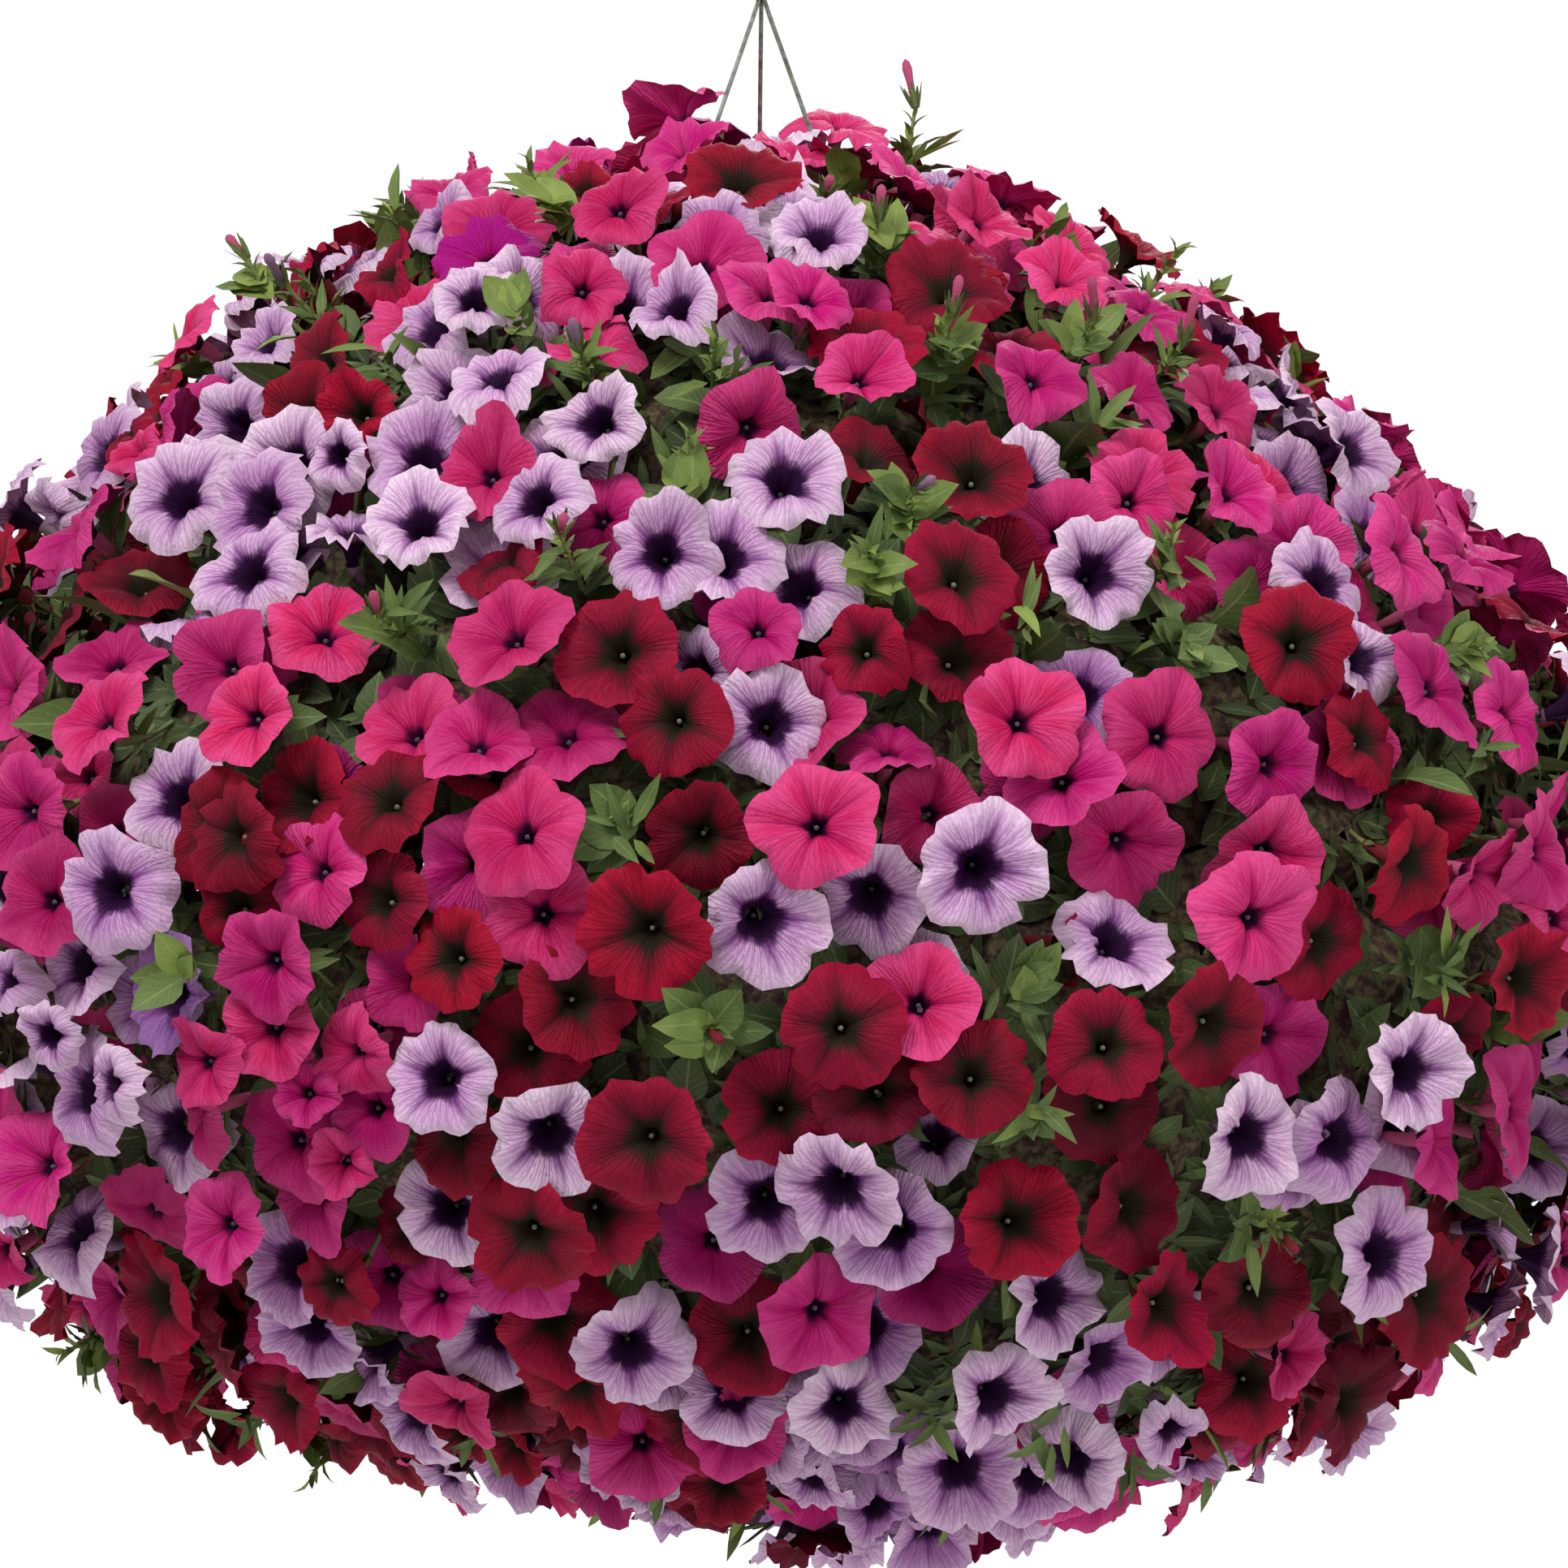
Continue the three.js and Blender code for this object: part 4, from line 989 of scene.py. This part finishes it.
def petalMaterial(colour, zones, veins):
    finish = petalFinish[colour]
    paint = screenColours(finish)
    material, tree, shader = newMaterial("petals_" + colour)
    growth, tone = growthAndTone(tree)
    place = objectPlace(tree)
    zone = useGroup(tree, zones, Map=growth, **finish["reach"])
    line = useGroup(tree, veins, Lobe=zone["Lobe"], Out=zone["Out"], Around=zone["Around"], Seed=tone)
    blotch = noise(tree, place, scale=70)
    base = limbColour(tree, finish, paint, zone, line["Streaks"], tone, blotch)
    base = veinedColour(tree, base, finish, paint, zone, line)
    base = mix(tree, times(tree, zone["Glow Mask"], finish["glowShare"]), base, paint["glow"])
    base = mix(tree, zone["Throat Mask"], base, paint["throat"])
    base = mix(tree, stalkMask(tree, zone["Out"]), base, paint["tube"])
    base = mix(tree, markMask(tree, zone["Out"]), base, paint["knob"])
    feed(tree, shader.inputs["Base Color"], base)
    roughness = maths(tree, "MULTIPLY_ADD", blotch, 0.2, finish["roughness"] - 0.1)
    feed(tree, shader.inputs["Roughness"], roughness)
    shader.inputs["Specular IOR Level"].default_value = petalGrain["specular"]
    height = maths(tree, "MULTIPLY_ADD", line["Veins"], petalGrain["veinDepth"], noise(tree, place, 700))
    addBump(tree, shader, height, strength=0.6, distanceMm=0.6)
    return material


# Leaves: growth X runs across the blade, growth Y from root to tip
leafFinish = {
    # The deep green is the leaves' own darker tone and also painted shade on leaves deep inside and low down
    "deep": (66, 78, 48), "mid": (100, 120, 62), "lime": (152, 170, 78), "blotch": (62, 80, 46),
    "vein": (150, 166, 104), "stalk": (128, 140, 84), "coreDark": (64, 40, 44), "coreLight": (116, 108, 74),
    "limeShare": 0.8, "blotchShare": 0.45, "ribShare": 0.55, "sideShare": 0.28, "sideLines": 7.0,
    "sideSlant": 5.0, "roughness": 0.45, "coreRoughness": 0.95, "specular": 0.3, "lineDepth": -1.2,
}


# A midrib and slanting side lines
def leafLines(tree, across, along):
    off = maths(tree, "ABSOLUTE", maths(tree, "SUBTRACT", across, 0.5))
    rib = ramp(tree, off, 0.0, 0.06, start=leafFinish["ribShare"], end=0.0)
    rise = times(tree, along, leafFinish["sideLines"])
    slant = maths(tree, "SUBTRACT", rise, times(tree, off, leafFinish["sideSlant"]))
    away = maths(tree, "ABSOLUTE", maths(tree, "SUBTRACT", maths(tree, "FRACT", slant), 0.5))
    return maths(tree, "MAXIMUM", rib, ramp(tree, away, 0.0, 0.12, start=leafFinish["sideShare"], end=0.0))


def foliageMaterial():
    paint = screenColours(leafFinish)
    material, tree, shader = newMaterial("foliage")
    growth, tone = growthAndTone(tree)
    place = objectPlace(tree)
    split = put(tree, "ShaderNodeSeparateXYZ")
    feed(tree, split.inputs[0], growth)
    across, along = split.outputs["X"], split.outputs["Y"]
    blotch = noise(tree, place, scale=90)
    lines = leafLines(tree, across, along)
    # Low tones mix towards the deep green, partly painted shade
    green = mix(tree, ramp(tree, tone, 0.0, 0.7), paint["deep"], paint["mid"])
    green = mix(tree, ramp(tree, tone, 0.6, 1.0, end=leafFinish["limeShare"]), green, paint["lime"])
    green = mix(tree, ramp(tree, blotch, 0.35, 0.75, end=leafFinish["blotchShare"]), green, paint["blotch"])
    green = mix(tree, lines, green, paint["vein"])
    green = mix(tree, stalkMask(tree, along), green, paint["stalk"])
    core = markMask(tree, along)
    crumbs = ramp(tree, noise(tree, place, scale=210, detail=5.0, rough=0.65), 0.38, 0.66)
    coreColour = mix(tree, crumbs, paint["coreDark"], paint["coreLight"])
    feed(tree, shader.inputs["Base Color"], mix(tree, core, green, coreColour))
    rough = maths(tree, "MULTIPLY_ADD", blotch, 0.25, leafFinish["roughness"])
    roughness = maths(tree, "MAXIMUM", rough, times(tree, core, leafFinish["coreRoughness"]))
    feed(tree, shader.inputs["Roughness"], roughness)
    shader.inputs["Specular IOR Level"].default_value = leafFinish["specular"]
    fine = noise(tree, place, scale=700, detail=2.0)
    height = maths(tree, "MULTIPLY_ADD", lines, leafFinish["lineDepth"], fine)
    addBump(tree, shader, height, strength=0.4, distanceMm=0.4)
    return material


# Made pieces keep their CAD shape
madePaint = screenColours({
    "steel": (112, 118, 106), "dullSteel": (162, 166, 156), "plastic": (40, 50, 44),
    "dust": (104, 98, 82), "soil": (26, 18, 12), "drySoil": (74, 54, 38),
})


def steelMaterial():
    material, tree, shader = newMaterial("hanger_steel")
    place = objectPlace(tree)
    dull = noise(tree, place, scale=240, detail=4.0)
    base = mix(tree, ramp(tree, dull, 0.35, 0.7), madePaint["steel"], madePaint["dullSteel"])
    feed(tree, shader.inputs["Base Color"], base)
    feed(tree, shader.inputs["Roughness"], ramp(tree, dull, 0.2, 0.8, start=0.35, end=0.6))
    shader.inputs["Metallic"].default_value = 0.8
    addBump(tree, shader, noise(tree, place, scale=1600, detail=2.0), strength=0.15, distanceMm=0.1)
    return material


def potMaterial():
    material, tree, shader = newMaterial("pot_plastic")
    place = objectPlace(tree)
    dust = noise(tree, place, scale=30, detail=5.0)
    dusty = ramp(tree, dust, 0.5, 0.8, end=0.35)
    feed(tree, shader.inputs["Base Color"], mix(tree, dusty, madePaint["plastic"], madePaint["dust"]))
    feed(tree, shader.inputs["Roughness"], ramp(tree, dust, 0.3, 0.8, start=0.42, end=0.7))
    addBump(tree, shader, noise(tree, place, scale=900, detail=2.0), strength=0.15, distanceMm=0.2)
    return material


def soilMaterial():
    material, tree, shader = newMaterial("potting_soil")
    crumbs = noise(tree, objectPlace(tree), scale=220, detail=6.0, rough=0.7)
    base = mix(tree, ramp(tree, crumbs, 0.35, 0.65), madePaint["soil"], madePaint["drySoil"])
    feed(tree, shader.inputs["Base Color"], base)
    feed(tree, shader.inputs["Roughness"], ramp(tree, crumbs, 0.2, 0.8, start=0.75, end=0.98))
    addBump(tree, shader, crumbs, strength=0.8, distanceMm=2)
    return material


def paintMadePieces():
    paint = {"pot": potMaterial(), "soil": soilMaterial()}
    paint.update(dict.fromkeys(("hook", "sleeve", "wire_1", "wire_2", "wire_3"), steelMaterial()))
    for node, material in paint.items():
        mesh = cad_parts[node].data
        mesh.materials.clear()
        mesh.materials.append(material)


# Stage, light and camera
stage = {"floorZ": -2.0, "floorRadius": 1.6, "skyLight": 0.57, "skySeen": 1.0}
cameraForm = {"distance": 3.2, "lens": 165.8, "aim": (0.010, 0.0, -0.4398)}
lampForms = {
    "key": {"place": (-1.1, -2.2, 1.9), "size": 1.2, "watts": 56},
    "fill": {"place": (2.2, -2.0, 0.2), "size": 1.8, "watts": 16},
    "back": {"place": (0.4, 2.6, 1.6), "size": 1.6, "watts": 40},
}


def makeFloor():
    bpy.ops.mesh.primitive_circle_add(
        vertices=96, radius=stage["floorRadius"], fill_type="NGON", location=(0, 0, stage["floorZ"]))
    floor = bpy.context.object
    floor.name = "floor"
    material, _, shader = newMaterial("pale_floor")
    shader.inputs["Base Color"].default_value = (0.86, 0.86, 0.85, 1)
    shader.inputs["Roughness"].default_value = 0.9
    floor.data.materials.append(material)


# The sky is seen white and lights the basket less than that
def makeSky():
    world = bpy.data.worlds.new("studio")
    world.use_nodes = True
    tree = world.node_tree
    sky = tree.nodes["Background"]
    sky.inputs["Color"].default_value = (1, 1, 1, 1)
    seen = put(tree, "ShaderNodeLightPath").outputs["Is Camera Ray"]
    strength = maths(tree, "MULTIPLY_ADD", seen, stage["skySeen"] - stage["skyLight"], stage["skyLight"])
    feed(tree, sky.inputs["Strength"], strength)
    bpy.context.scene.world = world


def makeLamp(name, form):
    data = bpy.data.lights.new(name, "AREA")
    data.shape, data.size, data.energy = "DISK", form["size"], form["watts"]
    lamp = bpy.data.objects.new(name, data)
    lamp.location = form["place"]
    towards = Vector(cameraForm["aim"]) - lamp.location
    lamp.rotation_euler = towards.to_track_quat("-Z", "Y").to_euler()
    bpy.context.scene.collection.objects.link(lamp)


def makeCamera():
    data = bpy.data.cameras.new("camera")
    data.lens, data.sensor_width, data.clip_end = cameraForm["lens"], 36, 60
    camera = bpy.data.objects.new("camera", data)
    camera.location = Vector(cameraForm["aim"]) - Vector((0, cameraForm["distance"], 0))
    camera.rotation_euler = (math.radians(90), 0, 0)
    bpy.context.scene.collection.objects.link(camera)
    bpy.context.scene.camera = camera


# Reading the frame
rings = readRings()
frameBlooms = allOf(rings, "blooms")
frameLeaves = np.array([leafCorners(leaf) for leaf in allOf(rings, "leaves")])
print("read", len(frameBlooms), "blooms from the frame")

# Placing the blooms
for bloom in frameBlooms:
    bloom["radius"] *= bloomForm["size"]
    bloom["facing"] = unit(bloom["facing"] + rng.normal(0, bloomForm["turnedAside"], 3))
    bloom.update(segments=bloomForm["segments"], deeper=0, hidden=False)
    bloom["rim"] = rimPoints(bloom)
mixColours(frameBlooms)
gaps = findGaps(rings)
discs = fillGaps(gaps, frameBlooms, frameLeaves)
print("put", sum(len(gap["blooms"]) for gap in gaps), "hidden blooms in", len(gaps), "gaps")

# Making and painting the pieces
zones, veins = buildPetalZones(), buildPetalVeins()
paint = {colour: petalMaterial(colour, zones, veins) for colour in colourNames}
paint["foliage"] = foliageMaterial()
total = sum(dressRing(name, ring, gaps, discs, paint) for name, ring in rings.items())
print("dressed the sprays with", total, "triangles")
paintMadePieces()
print("finished the hanger, pot and soil")

makeFloor()
makeSky()
for name, form in lampForms.items():
    makeLamp(name, form)
makeCamera()
bpy.context.scene.view_settings.view_transform = "Standard"
print("set the stage")
